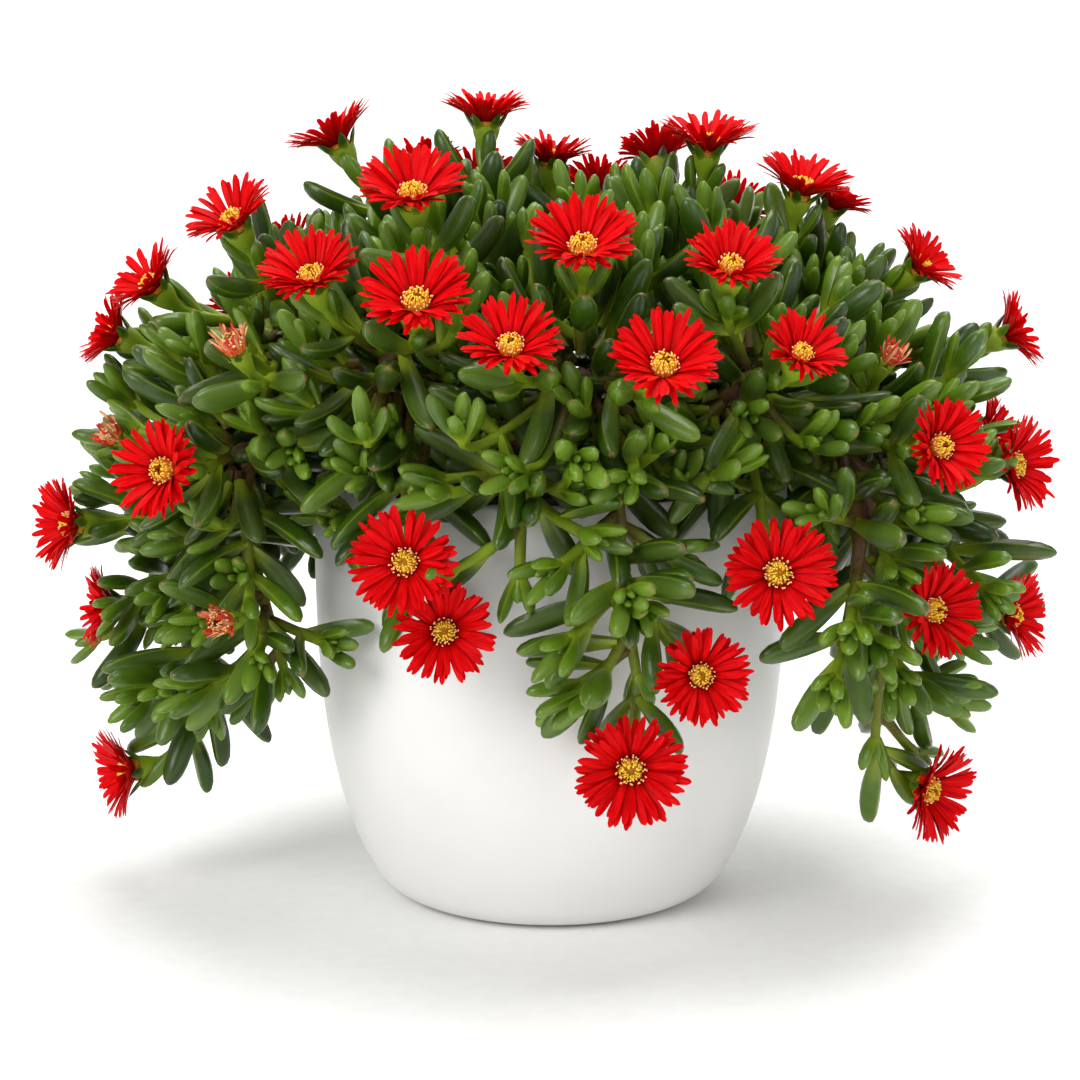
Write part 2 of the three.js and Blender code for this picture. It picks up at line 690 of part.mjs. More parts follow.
/** Leafy tips spread evenly over the dome, each on the nearest core, where blooms and stems leave room. */
function domeShoots(room) {
  const cores = [...stems.values()].filter((stem) => stem.core > 0);
  const found = [];
  for (let i = 1; i <= DOME_TRIES; i += 1) {
    const seed = DOME_SEED + i;
    const turn = 2 * Math.PI * spread(i, 2);
    const rise = DOME_LOWEST + (DOME_HIGHEST - DOME_LOWEST) * spread(i, 3);
    const level = Math.sqrt(1 - rise * rise);
    const way = new THREE.Vector3(Math.sin(turn) * level, -Math.cos(turn) * level, rise);
    const reach = THREE.MathUtils.lerp(...TIP_REACH, draw(seed, 0));
    const tip = way.clone().multiply(DOME_SIZE).multiplyScalar(reach).add(DOME_MIDDLE);
    if (tip.z < DOME_FRONT_LOWEST && tip.y < DOME_FRONT) continue;
    if (found.some((other) => other.tip.distanceTo(tip) < TIP_APART)) continue;
    if (room.balls.some((ball) => ball.point.distanceTo(tip) < TIP_FROM_LEAF)) continue;
    if (heads.some((head) => head.place.distanceTo(tip) < head.radius + TIP_FROM_BLOOM)) continue;
    cores.sort((a, b) => a.heart.distanceTo(tip) - b.heart.distanceTo(tip));
    const [stem] = cores;
    const outward = way.divide(DOME_SIZE).normalize().addScaledVector(UP, 0.25).normalize();
    const line = arch(stem.heart, tip.clone().sub(stem.heart).normalize(), tip, outward);
    const points = line.probes(Math.min(coreReach(stem, line.tangents[0], stems), line.length - 8), 4);
    if (room.blocked(points, SHOOT_RADIUS + 0.5, stem.node, -1)) continue;
    room.add(points, SHOOT_RADIUS, stem.node, seed);
    found.push({ tip, shoot: shootOn(stem, line, seed, { pairs: 2 }) });
  }
  return found.map((entry) => entry.shoot);
}

/** Every shoot: one for each head, hanging stems with their sprigs, and leafy tips over the dome. */
function growShoots(room) {
  const shoots = heads.map((head, i) => headShoot(head, i));
  for (const stem of stems.values()) room.add(stem.line.probes(12, 4), STEM_RADIUS, stem.node, -1);
  for (const shoot of shoots) room.add(shoot.line.probes(3, 4), SHOOT_RADIUS, shoot.stem.node, shoot.seed);
  const cored = [...stems.values()].filter((stem) => stem.core > 0);
  cored.forEach((stem, i) => growCore(stem, CORE_SEED * (i + 1), room));
  let seed = SPRIG_SEED;
  for (const stem of stems.values()) {
    if (stem.sprigs === 0) continue;
    shoots.push(shootOn(stem, stem.line, seed, { pairs: stem.pairs, radius: STEM_RADIUS }));
    for (let step = 0; step < stem.sprigs; step += 1) shoots.push(sprig(stem, step, seed + step + 1, room));
    seed += SPRIG_SEED;
  }
  return [...shoots.filter((shoot) => shoot), ...domeShoots(room)];
}

/** The faces of a stem's core, and a leaf on each that looks out of the plant and has room. */
function growCore(stem, seed, room) {
  const place = new THREE.IcosahedronGeometry(1, 1).attributes.position;
  for (let i = 0; i < place.count; i += 3) {
    const ways = [0, 1, 2].map((k) => new THREE.Vector3().fromBufferAttribute(place, i + k).normalize());
    const corners = ways.map((way) => stem.heart.clone().addScaledVector(way, coreReach(stem, way, stems)));
    const middle = corners[0].clone().add(corners[1]).add(corners[2]).divideScalar(3);
    const normal = corners[1].clone().sub(corners[0]).cross(corners[2].clone().sub(corners[0])).normalize();
    const outward = middle.clone().sub(DOME_MIDDLE).divide(DOME_SIZE).normalize();
    const key = seed + i;
    let leaf = null;
    if (normal.dot(outward) > CORE_LEAF_LOOK && draw(key, 0) < CORE_LEAF_SHARE) {
      leaf = coreLeaf(stem, middle, normal, key, room);
    }
    stem.faces.push({ corners, leaf });
  }
}

/** A leaf that stands out of a core where it has room, as drawn or a little bent, or null. */
function coreLeaf(stem, root, normal, key, room) {
  const aside = sideways(normal);
  const length = CORE_LEAF_LENGTH * (0.85 + 0.3 * draw(key, 1));
  for (const [swing, lift] of CORE_LEAF_TRIES) {
    const lean = swing + (draw(key, 3) - 0.5) * 0.5;
    const rise = lift + 0.3 * draw(key, 4);
    const way = normal.clone().addScaledVector(aside, lean).addScaledVector(UP, rise).normalize();
    const tipWay = way.clone().addScaledVector(UP, LEAF_RISE * 2).normalize();
    const middle = root.clone().addScaledVector(way, length / 2);
    const line = new Route([root, middle, middle.clone().addScaledVector(tipWay, length / 2)]);
    const points = line.probes(5, (line.length - 5) / LEAF_PROBES);
    if (room.blocked(points, CORE_LEAF_WIDTH / 2, stem.node, key)) continue;
    room.add(points, CORE_LEAF_WIDTH / 2, stem.node, key);
    return { line, width: CORE_LEAF_WIDTH, face: UP };
  }
  return null;
}

/** How far back from the tip of its shoot a pair of leaves stands. */
function pairBack(shoot, pair) {
  let back = shoot.lead;
  for (let i = 0; i <= pair; i += 1) back += LEAF_SPACING[Math.min(i, LEAF_SPACING.length - 1)];
  return back;
}

/** A leaf where it has room, as drawn or a little turned, closed up or shortened, or null. */
function findLeaf(shoot, pair, side, room) {
  const step = Math.min(pair, LEAF_OPEN.length - 1);
  const back = pairBack(shoot, pair);
  if (back > shoot.line.length - shoot.start - LEAF_FOOT) return null;
  const key = shoot.seed * 16 + pair * 2 + side;
  const { point, tangent } = shoot.line.at(shoot.line.length - back);
  const [first, second] = across(tangent, shoot.guide);
  const angle = shoot.turn + Math.PI * (pair / 2 + side);
  const outward = first.clone().multiplyScalar(Math.cos(angle)).addScaledVector(second, Math.sin(angle));
  const root = point.clone().addScaledVector(outward, shoot.radius * 0.6);
  const round = second.clone().multiplyScalar(Math.cos(angle)).addScaledVector(first, -Math.sin(angle));
  const length = LEAF_LENGTH[step] * (0.9 + 0.25 * draw(key, 1));
  const width = THREE.MathUtils.clamp(length * LEAF_SLENDER, ...LEAF_WIDTH_RANGE);
  for (const [yaw, nod, long] of LEAF_TRIES) {
    const open = LEAF_OPEN[step] + nod + (draw(key, 4) - 0.5) * 0.2;
    const swing = yaw + (draw(key, 3) - 0.5) * 0.4;
    const out = outward.clone().multiplyScalar(Math.cos(swing)).addScaledVector(round, Math.sin(swing));
    const way = tangent.clone().multiplyScalar(Math.cos(open)).addScaledVector(out, Math.sin(open));
    const tipWay = way.clone().addScaledVector(tangent, LEAF_CURL).addScaledVector(UP, LEAF_RISE).normalize();
    const middle = root.clone().addScaledVector(way, (length * long) / 2);
    const tip = middle.clone().addScaledVector(tipWay, (length * long) / 2);
    const line = new Route([root, middle, tip]);
    const points = line.probes(5, (line.length - 5) / LEAF_PROBES);
    if (room.blocked(points, width / 2, shoot.stem.node, shoot.seed)) continue;
    room.add(points, width / 2, shoot.stem.node, key + LEAF_SEED);
    return { pair, side, line, width, face: tangent };
  }
  return null;
}

// Green solids

/** A fleshy leaf with a flat face and a keel, grown out of a face of its stem that is given by its corners. */
function addLeaf(shell, foot, { line, width, face }) {
  const ring = (share, fat) => {
    const { point, tangent } = line.at(line.length * share);
    const [top] = across(tangent, face);
    const aside = top.clone().cross(tangent);
    const spot = (x, y) => {
      const corner = point.clone().addScaledVector(aside, x * width * fat);
      return shell.corner(corner.addScaledVector(top, y * width * fat));
    };
    return [spot(0, -LEAF_KEEL), spot(0.5, LEAF_TOP), spot(-0.5, LEAF_TOP)];
  };
  const belly = ring(LEAF_BELLY, 1);
  const shoulder = ring(LEAF_SHOULDER, LEAF_SHOULDER_WIDTH);
  const [keel, right, left] = belly;
  const [a, b, c, d] = foot;
  if (foot.length === 3) {
    shell.band(foot, belly);
  } else {
    shell.faces.push(a, b, keel, b, right, keel, b, c, right, c, left, right);
    shell.faces.push(c, d, left, d, a, left, a, keel, left);
  }
  shell.band(belly, shoulder);
  shell.fan(shell.corner(line.at(line.length).point), shoulder);
}

/** A four-sided shoot from inside its stem to its tip, or to the cup that holds a bloom, with its leaves. */
function makeShoot({ stem, line, start, radius, guide, turn, lead, head, leaves }) {
  const rooted = line === stem.line && stem.rooted;
  const shell = new Shell();
  const ring = (distance, wide = radius) => {
    const { point, tangent } = line.at(distance);
    const [first, second] = across(tangent, guide);
    return [0, 1, 2, 3].map((k) => {
      const angle = turn + Math.PI * (k / 2 - 0.25);
      const corner = point.clone().addScaledVector(first, Math.cos(angle) * wide);
      return shell.corner(corner.addScaledVector(second, Math.sin(angle) * wide));
    });
  };
  let mark = start;
  let low = ring(start);
  shell.fan(shell.corner(line.at(start).point), [...low].reverse());
  const extend = (distance) => {
    const steps = Math.ceil((distance - mark) / BEND_STEP);
    for (let i = 1; i <= steps; i += 1) {
      const next = ring(mark + ((distance - mark) * i) / steps);
      shell.band(low, next);
      low = next;
    }
    mark = distance;
  };
  if (rooted) extend(SOIL_TOP + SOIL_CLEAR - STEM_FOOT);
  const rows = [...new Set(leaves.map((leaf) => leaf.pair))].sort((a, b) => b - a);
  for (const pair of rows) {
    const middle = line.length - pairBack({ lead }, pair);
    extend(middle - LEAF_FOOT / 2);
    const high = ring(middle + LEAF_FOOT / 2);
    for (let k = 0; k < 4; k += 1) {
      const next = (k + 1) % 4;
      const patch = [low[k], low[next], high[next], high[k]];
      const leaf = leaves.find((l) => l.pair === pair && (pair + 2 * l.side) % 4 === k);
      if (leaf) addLeaf(shell, patch, leaf);
      else shell.faces.push(patch[0], patch[1], patch[2], patch[0], patch[2], patch[3]);
    }
    mark = middle + LEAF_FOOT / 2;
    low = high;
  }
  if (head) {
    extend(line.length - CUP_LENGTH);
    const lip = ring(line.length + CUP_RISE, CUP_RADIUS * Math.min(1, head.radius / CUP_FULL_BLOOM));
    shell.band(low, lip);
    shell.fan(shell.corner(line.at(line.length).point), lip);
  } else {
    if (rows.length === 0) extend(line.length);
    shell.fan(shell.corner(line.at(line.length + 1).point), low);
  }
  return shell.body();
}

/** A main stem from its foot in the soil, or from the stem it leaves, to its fork. */
function makeStem({ line, rooted }) {
  const shell = new Shell();
  const guide = new THREE.Vector3(0.8, 0.6, 0);
  const soil = rooted ? SOIL_TOP + SOIL_CLEAR - STEM_FOOT : 0;
  const marks = rooted ? [0, soil] : [0];
  for (let i = 1; i <= STEM_STEPS; i += 1) marks.push(soil + ((line.length - soil) * i) / STEM_STEPS);
  const rings = marks.map((distance) => {
    const { point, tangent } = line.at(distance);
    const [first, second] = across(tangent, guide);
    return Array.from({ length: STEM_SIDES }, (_, k) => {
      const angle = (2 * Math.PI * k) / STEM_SIDES;
      const corner = point.clone().addScaledVector(first, Math.cos(angle) * STEM_RADIUS);
      return shell.corner(corner.addScaledVector(second, Math.sin(angle) * STEM_RADIUS));
    });
  });
  shell.fan(shell.corner(line.at(0).point), [...rings[0]].reverse());
  for (let i = 1; i < rings.length; i += 1) shell.band(rings[i - 1], rings[i]);
  shell.fan(shell.corner(line.at(line.length + 1).point), rings[rings.length - 1]);
  return shell.body();
}

/** The thick of a bunch with the leaves that stand out of its faces. */
function makeCore(stem) {
  const shell = new Shell();
  stem.faces.forEach(({ corners, leaf }) => {
    const foot = corners.map((point) => shell.corner(point));
    if (!leaf) {
      shell.faces.push(...foot);
      return;
    }
    const [top] = across(leaf.line.tangents[0], leaf.face);
    const rises = corners.map((point) => point.dot(top));
    const first = rises.indexOf(Math.min(...rises));
    addLeaf(shell, [0, 1, 2].map((k) => foot[(first + k) % 3]), leaf);
  });
  return shell.body();
}

// Blooms

/** A head of petals in two layers, high and low in turn, round a raised middle of stamens. */
function makeBloom({ place, way, radius }, petals, ragged, seed) {
  const shell = new Shell();
  const [first, second] = across(way, sideways(way));
  const corner = (angle, out, height) => {
    const point = place.clone().addScaledVector(way, height);
    point.addScaledVector(first, Math.cos(angle) * out).addScaledVector(second, Math.sin(angle) * out);
    return shell.corner(point);
  };
  const seat = corner(0, 0, -BLOOM_SEAT);
  const tuft = corner(0, 0, radius * STAMEN_RISE);
  const pitch = (2 * Math.PI) / petals;
  const rows = Array.from({ length: petals }, (_, i) => {
    const middle = pitch * (i + PETAL_SWAY * (draw(seed, i + 80) - 0.5));
    const layer = (i % 2 === 0 ? 1 : -1) * PETAL_LAYER_STEP + ragged * (draw(seed, i) - 0.5) * radius;
    const reach = radius * (i % 2 === 0 ? 0.95 : 1) * (1 - (0.05 + ragged * 0.5) * draw(seed, i + 40));
    const height = (share) => petalHeight(share, radius) + layer * share;
    return {
      valley: corner(pitch * (i + 0.5), radius * PETAL_VALLEY, petalHeight(PETAL_VALLEY, radius)),
      left: corner(middle - pitch * PETAL_HALF_WIDTH, reach * PETAL_SHOULDER, height(PETAL_SHOULDER)),
      right: corner(middle + pitch * PETAL_HALF_WIDTH, reach * PETAL_SHOULDER, height(PETAL_SHOULDER)),
      tip: corner(middle, reach, height(1)),
    };
  });
  rows.forEach((row, i) => {
    const before = rows[(i + petals - 1) % petals];
    const edge = [before.valley, row.left, row.tip, row.right, row.valley];
    for (let k = 1; k < edge.length; k += 1) {
      shell.faces.push(tuft, edge[k - 1], edge[k], seat, edge[k], edge[k - 1]);
    }
  });
  return shell.body();
}

// Putting it together

const heads = [...BLOOMS, ...SPENT].map(([node, stem, share, place, turn, lift, width]) => ({
  node,
  stem,
  share,
  place: new THREE.Vector3(...place),
  way: facing(turn, lift),
  radius: width / 2,
}));
const stems = growStems();
const room = new Room(stems, heads);
const shoots = growShoots(room);
const mostPairs = Math.max(...shoots.map((shoot) => shoot.pairs));
for (let pair = 0; pair < mostPairs; pair += 1) {
  for (const shoot of shoots) {
    for (let side = 0; side < 2 && pair < shoot.pairs; side += 1) {
      const leaf = findLeaf(shoot, pair, side, room);
      if (leaf) shoot.leaves.push(leaf);
    }
  }
}

const group = new THREE.Group();
group.add(meshOf('pot', makePot(), WHITE_GLAZE));
const feet = STEMS.filter((stem) => !stem.from).map((stem) => stem.route[0]);
group.add(meshOf('soil', makeSoil(feet), DARK_SOIL));

for (const node of new Set(STEMS.map((stem) => stem.node))) {
  const own = [...stems.values()].filter((stem) => stem.node === node);
  const bodies = own.filter((stem) => stem.core > 0).flatMap((stem) => [makeStem(stem), makeCore(stem)]);
  for (const shoot of shoots) if (shoot.stem.node === node) bodies.push(makeShoot(shoot));
  group.add(meshOf(node, Manifold.union(bodies), LEAF_GREEN));
}

const nodes = new Map();
heads.forEach((head, i) => {
  const spent = head.node.startsWith('spent');
  const body = makeBloom(head, spent ? SPENT_PETALS : PETALS, spent ? SPENT_RAGGED : 0, i);
  const joined = nodes.get(head.node);
  nodes.set(head.node, { body: joined ? joined.body.add(body) : body, look: spent ? SPENT_RED : PETAL_RED });
});
for (const [node, { body, look }] of nodes) group.add(meshOf(node, body, look));

export default group;
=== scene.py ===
"""Potted ice plant: a plain white tapered pot, filled with soil, with a fleshy-leaved plant that domes over it.

The plant hangs over the rim and carries red many-petalled blooms. The leaves stand where the rule of the solids puts
them, and the same rule goes on for the many more leaves that the real plant has. Sizes are in millimetres up to the
point where a mesh is made. The front is -Y and the pot stands on Z = 0.
"""

import logging
import math
from collections.abc import Iterable, Sequence
from dataclasses import dataclass, field
from enum import Enum
from typing import ClassVar

import bpy
import numpy as np
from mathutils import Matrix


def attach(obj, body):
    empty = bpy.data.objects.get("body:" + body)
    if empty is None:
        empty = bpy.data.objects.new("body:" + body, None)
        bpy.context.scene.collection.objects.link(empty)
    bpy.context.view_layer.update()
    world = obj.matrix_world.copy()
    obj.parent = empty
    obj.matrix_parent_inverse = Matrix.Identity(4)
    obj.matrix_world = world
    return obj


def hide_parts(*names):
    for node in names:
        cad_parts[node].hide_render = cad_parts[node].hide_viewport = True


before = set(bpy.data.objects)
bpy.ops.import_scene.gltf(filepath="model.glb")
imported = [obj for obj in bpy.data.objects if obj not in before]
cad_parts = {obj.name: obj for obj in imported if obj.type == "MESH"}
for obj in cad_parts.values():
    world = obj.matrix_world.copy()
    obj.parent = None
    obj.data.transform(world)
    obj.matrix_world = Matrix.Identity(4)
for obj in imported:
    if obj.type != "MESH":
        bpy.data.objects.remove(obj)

Array, Tree, Socket = np.ndarray, bpy.types.NodeTree, bpy.types.NodeSocket
LOG = logging.getLogger("ice_plant")
MM = 0.001
ACROSS, BACK, UP = np.eye(3)
NOISE, RAMP, BUMP = "ShaderNodeTexNoise", "ShaderNodeValToRGB", "ShaderNodeBump"
MIX, MATH, RANGE = "ShaderNodeMix", "ShaderNodeMath", "ShaderNodeMapRange"

# The plant's rule of growth, with the names and values that the solids have

POT_HEIGHT = 134.0
POT_RIM_RADIUS = 75.0
POT_TAPER = 17.0
POT_TAPER_POWER = 3.7
POT_FOOT_FLAT_RADIUS = 42.4
POT_FOOT_ROUND = 17.0
POT_FOOT_LEAN = math.radians(27)
POT_WALL = 4.0
POT_FLOOR = 6.0
SOIL_TOP = 126.0
SOIL_CLEAR = 4.5
TOUCH_GAP = 0.35
STEM_RADIUS = 2.6
STEM_FOOT = 116.0
SHOOT_RADIUS = 1.6
PATH_STEPS = 8
CUP_LENGTH = 9.0
CUP_RADIUS = 4.4
CUP_RISE = 0.5
STALK_BARE = 2.4
SPRIG_LENGTH = 28.0
SPRIGS_FROM = 0.55
SPRIG_PAIRS = 2
CUP_FULL_BLOOM = 12.0
LEAF_OPEN = [math.radians(a) for a in (24, 42, 54, 60, 62)]
LEAF_LENGTH = [15.0, 21.0, 25.0, 26.0, 26.0]
LEAF_SPACING = [3.0, 8.0, 10.0, 11.0, 11.0]
LEAF_SLENDER = 0.3
LEAF_WIDTH_RANGE = (4.8, 7.6)
LEAF_CURL = 0.4
LEAF_RISE = 0.16
LEAF_FOOT = 3.6
LEAF_PROBES = 5
LEAF_TRIES = [(0, 0, 1), (0.4, 0, 1), (-0.4, 0, 1), (0, -0.25, 1), (0.7, 0.15, 0.9), (-0.7, 0.15, 0.9)]
BLOOM_RISE = 0.3
BLOOM_FLARE = 0.7
BLOOM_SEAT = 1.2
DOME_MIDDLE = np.array([0.0, 0.0, 140.0])
DOME_SIZE = np.array([142.0, 122.0, 92.0])
DOME_TRIES = 330
DOME_SEED = 1000
SPRIG_SEED = 100
DOME_LOWEST = -0.3
DOME_HIGHEST = 0.98
DOME_FRONT_LOWEST = 150.0
DOME_FRONT = -60.0
TIP_REACH = (0.84, 0.93)
TIP_APART = 35.0
TIP_FROM_BLOOM = 15.0
TIP_FROM_LEAF = 22.0
OTHER_GAP = 0.7
OWN_GAP = 0.2
HEAD_BELOW = 2.6
HEAD_ABOVE = 3.4
FLOOR_CLEAR = 12.0
CORE_OVER_POT = 3.0
CORE_SHARE = 0.6
CORE_SEED = 20000
CORE_LEAF_LOOK = 0.1
CORE_LEAF_SHARE = 0.34
CORE_LEAF_LENGTH = 25.0
CORE_LEAF_WIDTH = 7.0
CORE_LEAF_TRIES = [(0, 0), (0.4, 0.1), (-0.4, 0.1), (0, 0.5), (0, -0.5)]
LEAF_SEED = 100000
LEAF_SNUG = 0.5
ARCH_PULL = 0.38
PROBE_STEP = 4

# The rest of the real plant, past the solids: more pairs on a shoot, more side shoots on a hanging stem, and layers of
# shoots over the dome, each with the distance between its tips and the shares of the dome that they reach
MORE_PAIRS = 4
MORE_PAIRS_ON_HANGING = 9
MORE_SNUG = 0.4
MORE_OWN_GAP = -0.6
MORE_OTHER_GAP = 0.1
MORE_CORE_SCALE = 0.6
MORE_SPRIGS = 9
MORE_SPRIGS_FROM = 0.34
MORE_SPRIGS_OVER = 0.64
MORE_SPRIG_TURN = math.radians(125)
MORE_SPRIG_LENGTH = (16.0, 30.0)
MORE_LAYERS = [(15.0, (0.82, 0.93)), (12.5, (0.6, 0.78))]
MORE_TRIES = 1000
MORE_SEED = 5000
MORE_SPRIG_SEED = 3000
MORE_LOWEST = -0.42
MORE_FRONT_LOWEST = 141.0
MORE_UNEVEN = 0.05
MORE_SWAY = 1.2
MORE_HEAD_ABOVE = 14.0
MORE_HEAD_WIDE = 1.25
MORE_LEAF_GROWTH = 1.12

# Main stems: node, name, core, the stem and share it leaves or None, its route, its own pairs and its sprigs
TRAIL_LEFT, TRAIL_CENTRE = "leafy_stem_left_trail", "leafy_stem_centre_trail"
TRAIL_RIGHT, TRAIL_BACK = "leafy_stem_right_trail", "leafy_stem_back_trail"
LEFT_ROUTE = [(-56, 8), (-66, 6, 148), (-90, 0, 150), (-104, -10, 116), (-106, -22, 62)]
CENTRE_ROUTE = [(14, -57), (16, -68, 143), (18, -85, 141), (20, -90, 112), (24, -90, 88)]
RIGHT_ROUTE = [(54, -32), (66, -40, 148), (86, -50, 146), (97, -56, 112), (96, -60, 62)]
BACK_ROUTE = [(-6, 56), (-8, 68, 144), (-10, 88, 142), (-12, 96, 112), (-14, 98, 72)]
SPILL_ROUTE = [(-4, -66, 147), (-8, -87, 139), (-9, -92, 116)]
STEMS = [
    ("leafy_stems_top", "top_left", 18, None, [(0, -2), (-8, -8, 156), (-25, -16, 188)], 0, 0),
    ("leafy_stems_top", "top_right", 18, ("top_left", 0.3), [(14, 2, 160), (30, 6, 190)], 0, 0),
    ("leafy_stems_front", "front_right", 17, None, [(8, -38), (9, -54, 152), (8, -72, 170)], 0, 0),
    ("leafy_stems_front", "front_left", 17, ("front_right", 0.35), [(-26, -52, 154), (-46, -60, 174)], 0, 0),
    ("leafy_stems_front", "right_front", 17, ("front_right", 0.35), [(38, -50, 154), (58, -56, 168)], 0, 0),
    ("leafy_stems_front", "front_spill", 0, ("front_right", 0.3), SPILL_ROUTE, 4, 3),
    ("leafy_stems_right", "right_upper", 18, None, [(42, 2), (58, 6, 158), (80, 8, 178)], 0, 0),
    ("leafy_stems_right", "right_side", 14, ("right_upper", 0.35), [(74, -16, 150), (96, -26, 150)], 0, 0),
    ("leafy_stems_left", "left_upper", 18, None, [(-42, -14), (-58, -14, 156), (-80, -20, 180)], 0, 0),
    ("leafy_stems_left", "left_side", 14, ("left_upper", 0.35), [(-71, -33, 151), (-92, -41, 146)], 0, 0),
    ("leafy_stems_back", "back_left", 18, None, [(-2, 34), (-30, 42, 156), (-56, 52, 176)], 0, 0),
    ("leafy_stems_back", "back_right", 18, ("back_left", 0.25), [(30, 46, 158), (50, 56, 178)], 0, 0),
    ("leafy_stems_back", "back_middle", 16, ("back_left", 0.25), [(0, 42, 160), (0, 54, 188)], 0, 0),
    (TRAIL_LEFT, "left_trail", 0, None, LEFT_ROUTE, 6, 4),
    (TRAIL_LEFT, "left_trail_front", 0, ("left_trail", 0.42), [(-92, -30, 118), (-80, -48, 80)], 4, 2),
    (TRAIL_LEFT, "left_trail_side", 0, ("left_trail", 0.42), [(-118, 6, 118), (-124, 2, 88)], 3, 2),
    (TRAIL_CENTRE, "centre_trail", 0, None, CENTRE_ROUTE, 4, 2),
    (TRAIL_RIGHT, "right_trail", 0, None, RIGHT_ROUTE, 5, 4),
    (TRAIL_RIGHT, "right_trail_front", 0, ("right_trail", 0.42), [(88, -74, 122), (82, -76, 84)], 4, 2),
    (TRAIL_RIGHT, "right_trail_side", 0, ("right_trail", 0.42), [(114, -36, 122), (122, -30, 88)], 3, 2),
    (TRAIL_BACK, "back_trail", 0, None, BACK_ROUTE, 5, 4),
]

# Blooms: node, stem, how far up it the shoot leaves, place, turn (0 faces the front, 90 the right), lift and width
BLOOMS = [
    ("bloom_top_1", "top_left", 1, (-20, -5, 244), 0, 84, 29),
    ("bloom_top_2", "top_left", 1, (-65, -10, 237), -80, 62, 31),
    ("bloom_top_3", "top_left", 1, (-38, -86, 220), -8, 58, 32),
    ("bloom_top_4", "top_right", 1, (0, 20, 232), 40, 80, 27),
    ("bloom_top_5", "top_right", 1, (16, 48, 222), 175, 62, 28),
    ("bloom_top_6", "front_right", 1, (8, -98, 206), 0, 52, 32),
    ("bloom_top_7", "top_right", 1, (48, -10, 235), 10, 78, 33),
    ("bloom_top_8", "top_right", 1, (34, 11, 233), 200, 66, 26),
    ("bloom_right_upper_1", "right_upper", 1, (76, -15, 222), 35, 68, 32),
    ("bloom_right_upper_2", "right_upper", 1, (88, 6, 218), 78, 60, 26),
    ("bloom_right_upper_3", "right_upper", 1, (113, -10, 199), 62, 40, 27),
    ("bloom_left_upper_1", "left_upper", 1, (-90, -62, 213), -40, 52, 29),
    ("bloom_left_upper_2", "left_upper", 1, (-119, -30, 194), -58, 44, 28),
    ("bloom_left_upper_3", "left_upper", 1, (-132, -20, 179), -74, 28, 27),
    ("bloom_front_left_1", "front_left", 1, (-65, -92, 198), -18, 55, 30),
    ("bloom_front_left_2", "front_left", 1, (-36, -108, 192), 0, 46, 32),
    ("bloom_front_left_3", "front_left", 0.8, (-40, -100, 122), -6, 12, 32),
    ("bloom_front_left_4", "front_left", 0.7, (-30, -96, 102), 4, 8, 30),
    ("bloom_front_right_1", "front_right", 1, (-11, -119, 181), 0, 46, 29),
    ("bloom_front_right_2", "front_right", 1, (29, -120, 176), 4, 42, 31),
    ("bloom_right_front_1", "right_front", 1, (48, -98, 201), 8, 54, 28),
    ("bloom_right_front_2", "right_front", 1, (67, -100, 178), 22, 46, 25),
    ("bloom_right_front_3", "right_front", 0.8, (62, -95, 118), 6, 12, 33),
    ("bloom_right_side_1", "right_side", 1, (143, 0, 178), 78, 24, 28),
    ("bloom_right_side_2", "right_side", 1, (107, -85, 152), 32, 14, 29),
    ("bloom_right_side_3", "right_side", 1, (138, -35, 141), 48, 10, 31),
    ("bloom_right_side_4", "right_side", 1, (135, -15, 148), 66, 20, 25),
    ("bloom_left_side_1", "left_side", 1, (-109, -75, 144), -28, 14, 31),
    ("bloom_left_side_2", "left_trail", 0.5, (-147, -20, 121), -58, 6, 31),
    ("bloom_left_trail_1", "left_trail", 0.62, (-140, 0, 91), -72, 6, 29),
    ("bloom_left_trail_2", "left_trail", 0.84, (-133, -10, 40), -64, -4, 32),
    ("bloom_centre_trail_1", "centre_trail", 0.7, (41, -98, 90), 6, 8, 29),
    ("bloom_centre_trail_2", "centre_trail", 1, (22, -97, 63), 0, 6, 34),
    ("bloom_right_trail_1", "right_trail", 0.55, (109, -70, 103), 30, 10, 30),
    ("bloom_right_trail_2", "right_trail", 0.5, (140, -30, 94), 58, 8, 29),
    ("bloom_right_trail_3", "right_trail", 1, (112, -50, 45), 46, -8, 33),
    ("bloom_back_top_pair", "back_left", 1, (-42, 54, 228), -150, 66, 30),
    ("bloom_back_top_pair", "back_middle", 1, (-25, 66, 225), 176, 62, 30),
    ("bloom_back_left_1", "back_left", 1, (-88, 58, 200), -128, 46, 31),
    ("bloom_back_left_2", "back_left", 1, (-102, 52, 183), -118, 34, 29),
    ("bloom_back_left_3", "back_left", 1, (-60, 104, 170), -154, 26, 31),
    ("bloom_back_right_pair", "back_middle", 1, (11, 106, 198), 178, 44, 31),
    ("bloom_back_right_pair", "back_right", 1, (25, 109, 188), 168, 36, 30),
    ("bloom_back_right_upper_pair", "back_right", 1, (62, 66, 215), 140, 58, 31),
    ("bloom_back_right_upper_pair", "back_right", 1, (79, 74, 200), 134, 46, 30),
    ("bloom_back_right_1", "right_side", 1, (124, 42, 140), 104, 16, 30),
    ("bloom_back_trail_pair", "back_trail", 0.75, (-36, 106, 102), -164, 8, 32),
    ("bloom_back_trail_pair", "back_trail", 1, (-24, 109, 87), 178, 4, 30),
    ("bloom_back_trail_1", "back_trail", 0.6, (34, 104, 116), 166, 10, 31),
]

# Withered heads, in the same form
SPENT = [
    ("spent_bloom_1", "left_upper", 1, (-86, -96, 180), -30, 50, 17),
    ("spent_bloom_2", "left_side", 1, (-130, -40, 150), -62, 38, 16),
    ("spent_bloom_3", "left_side", 0.9, (-93, -78, 101), -30, 10, 17),
    ("spent_bloom_4", "right_side", 1, (97, -64, 175), 40, 48, 14),
]


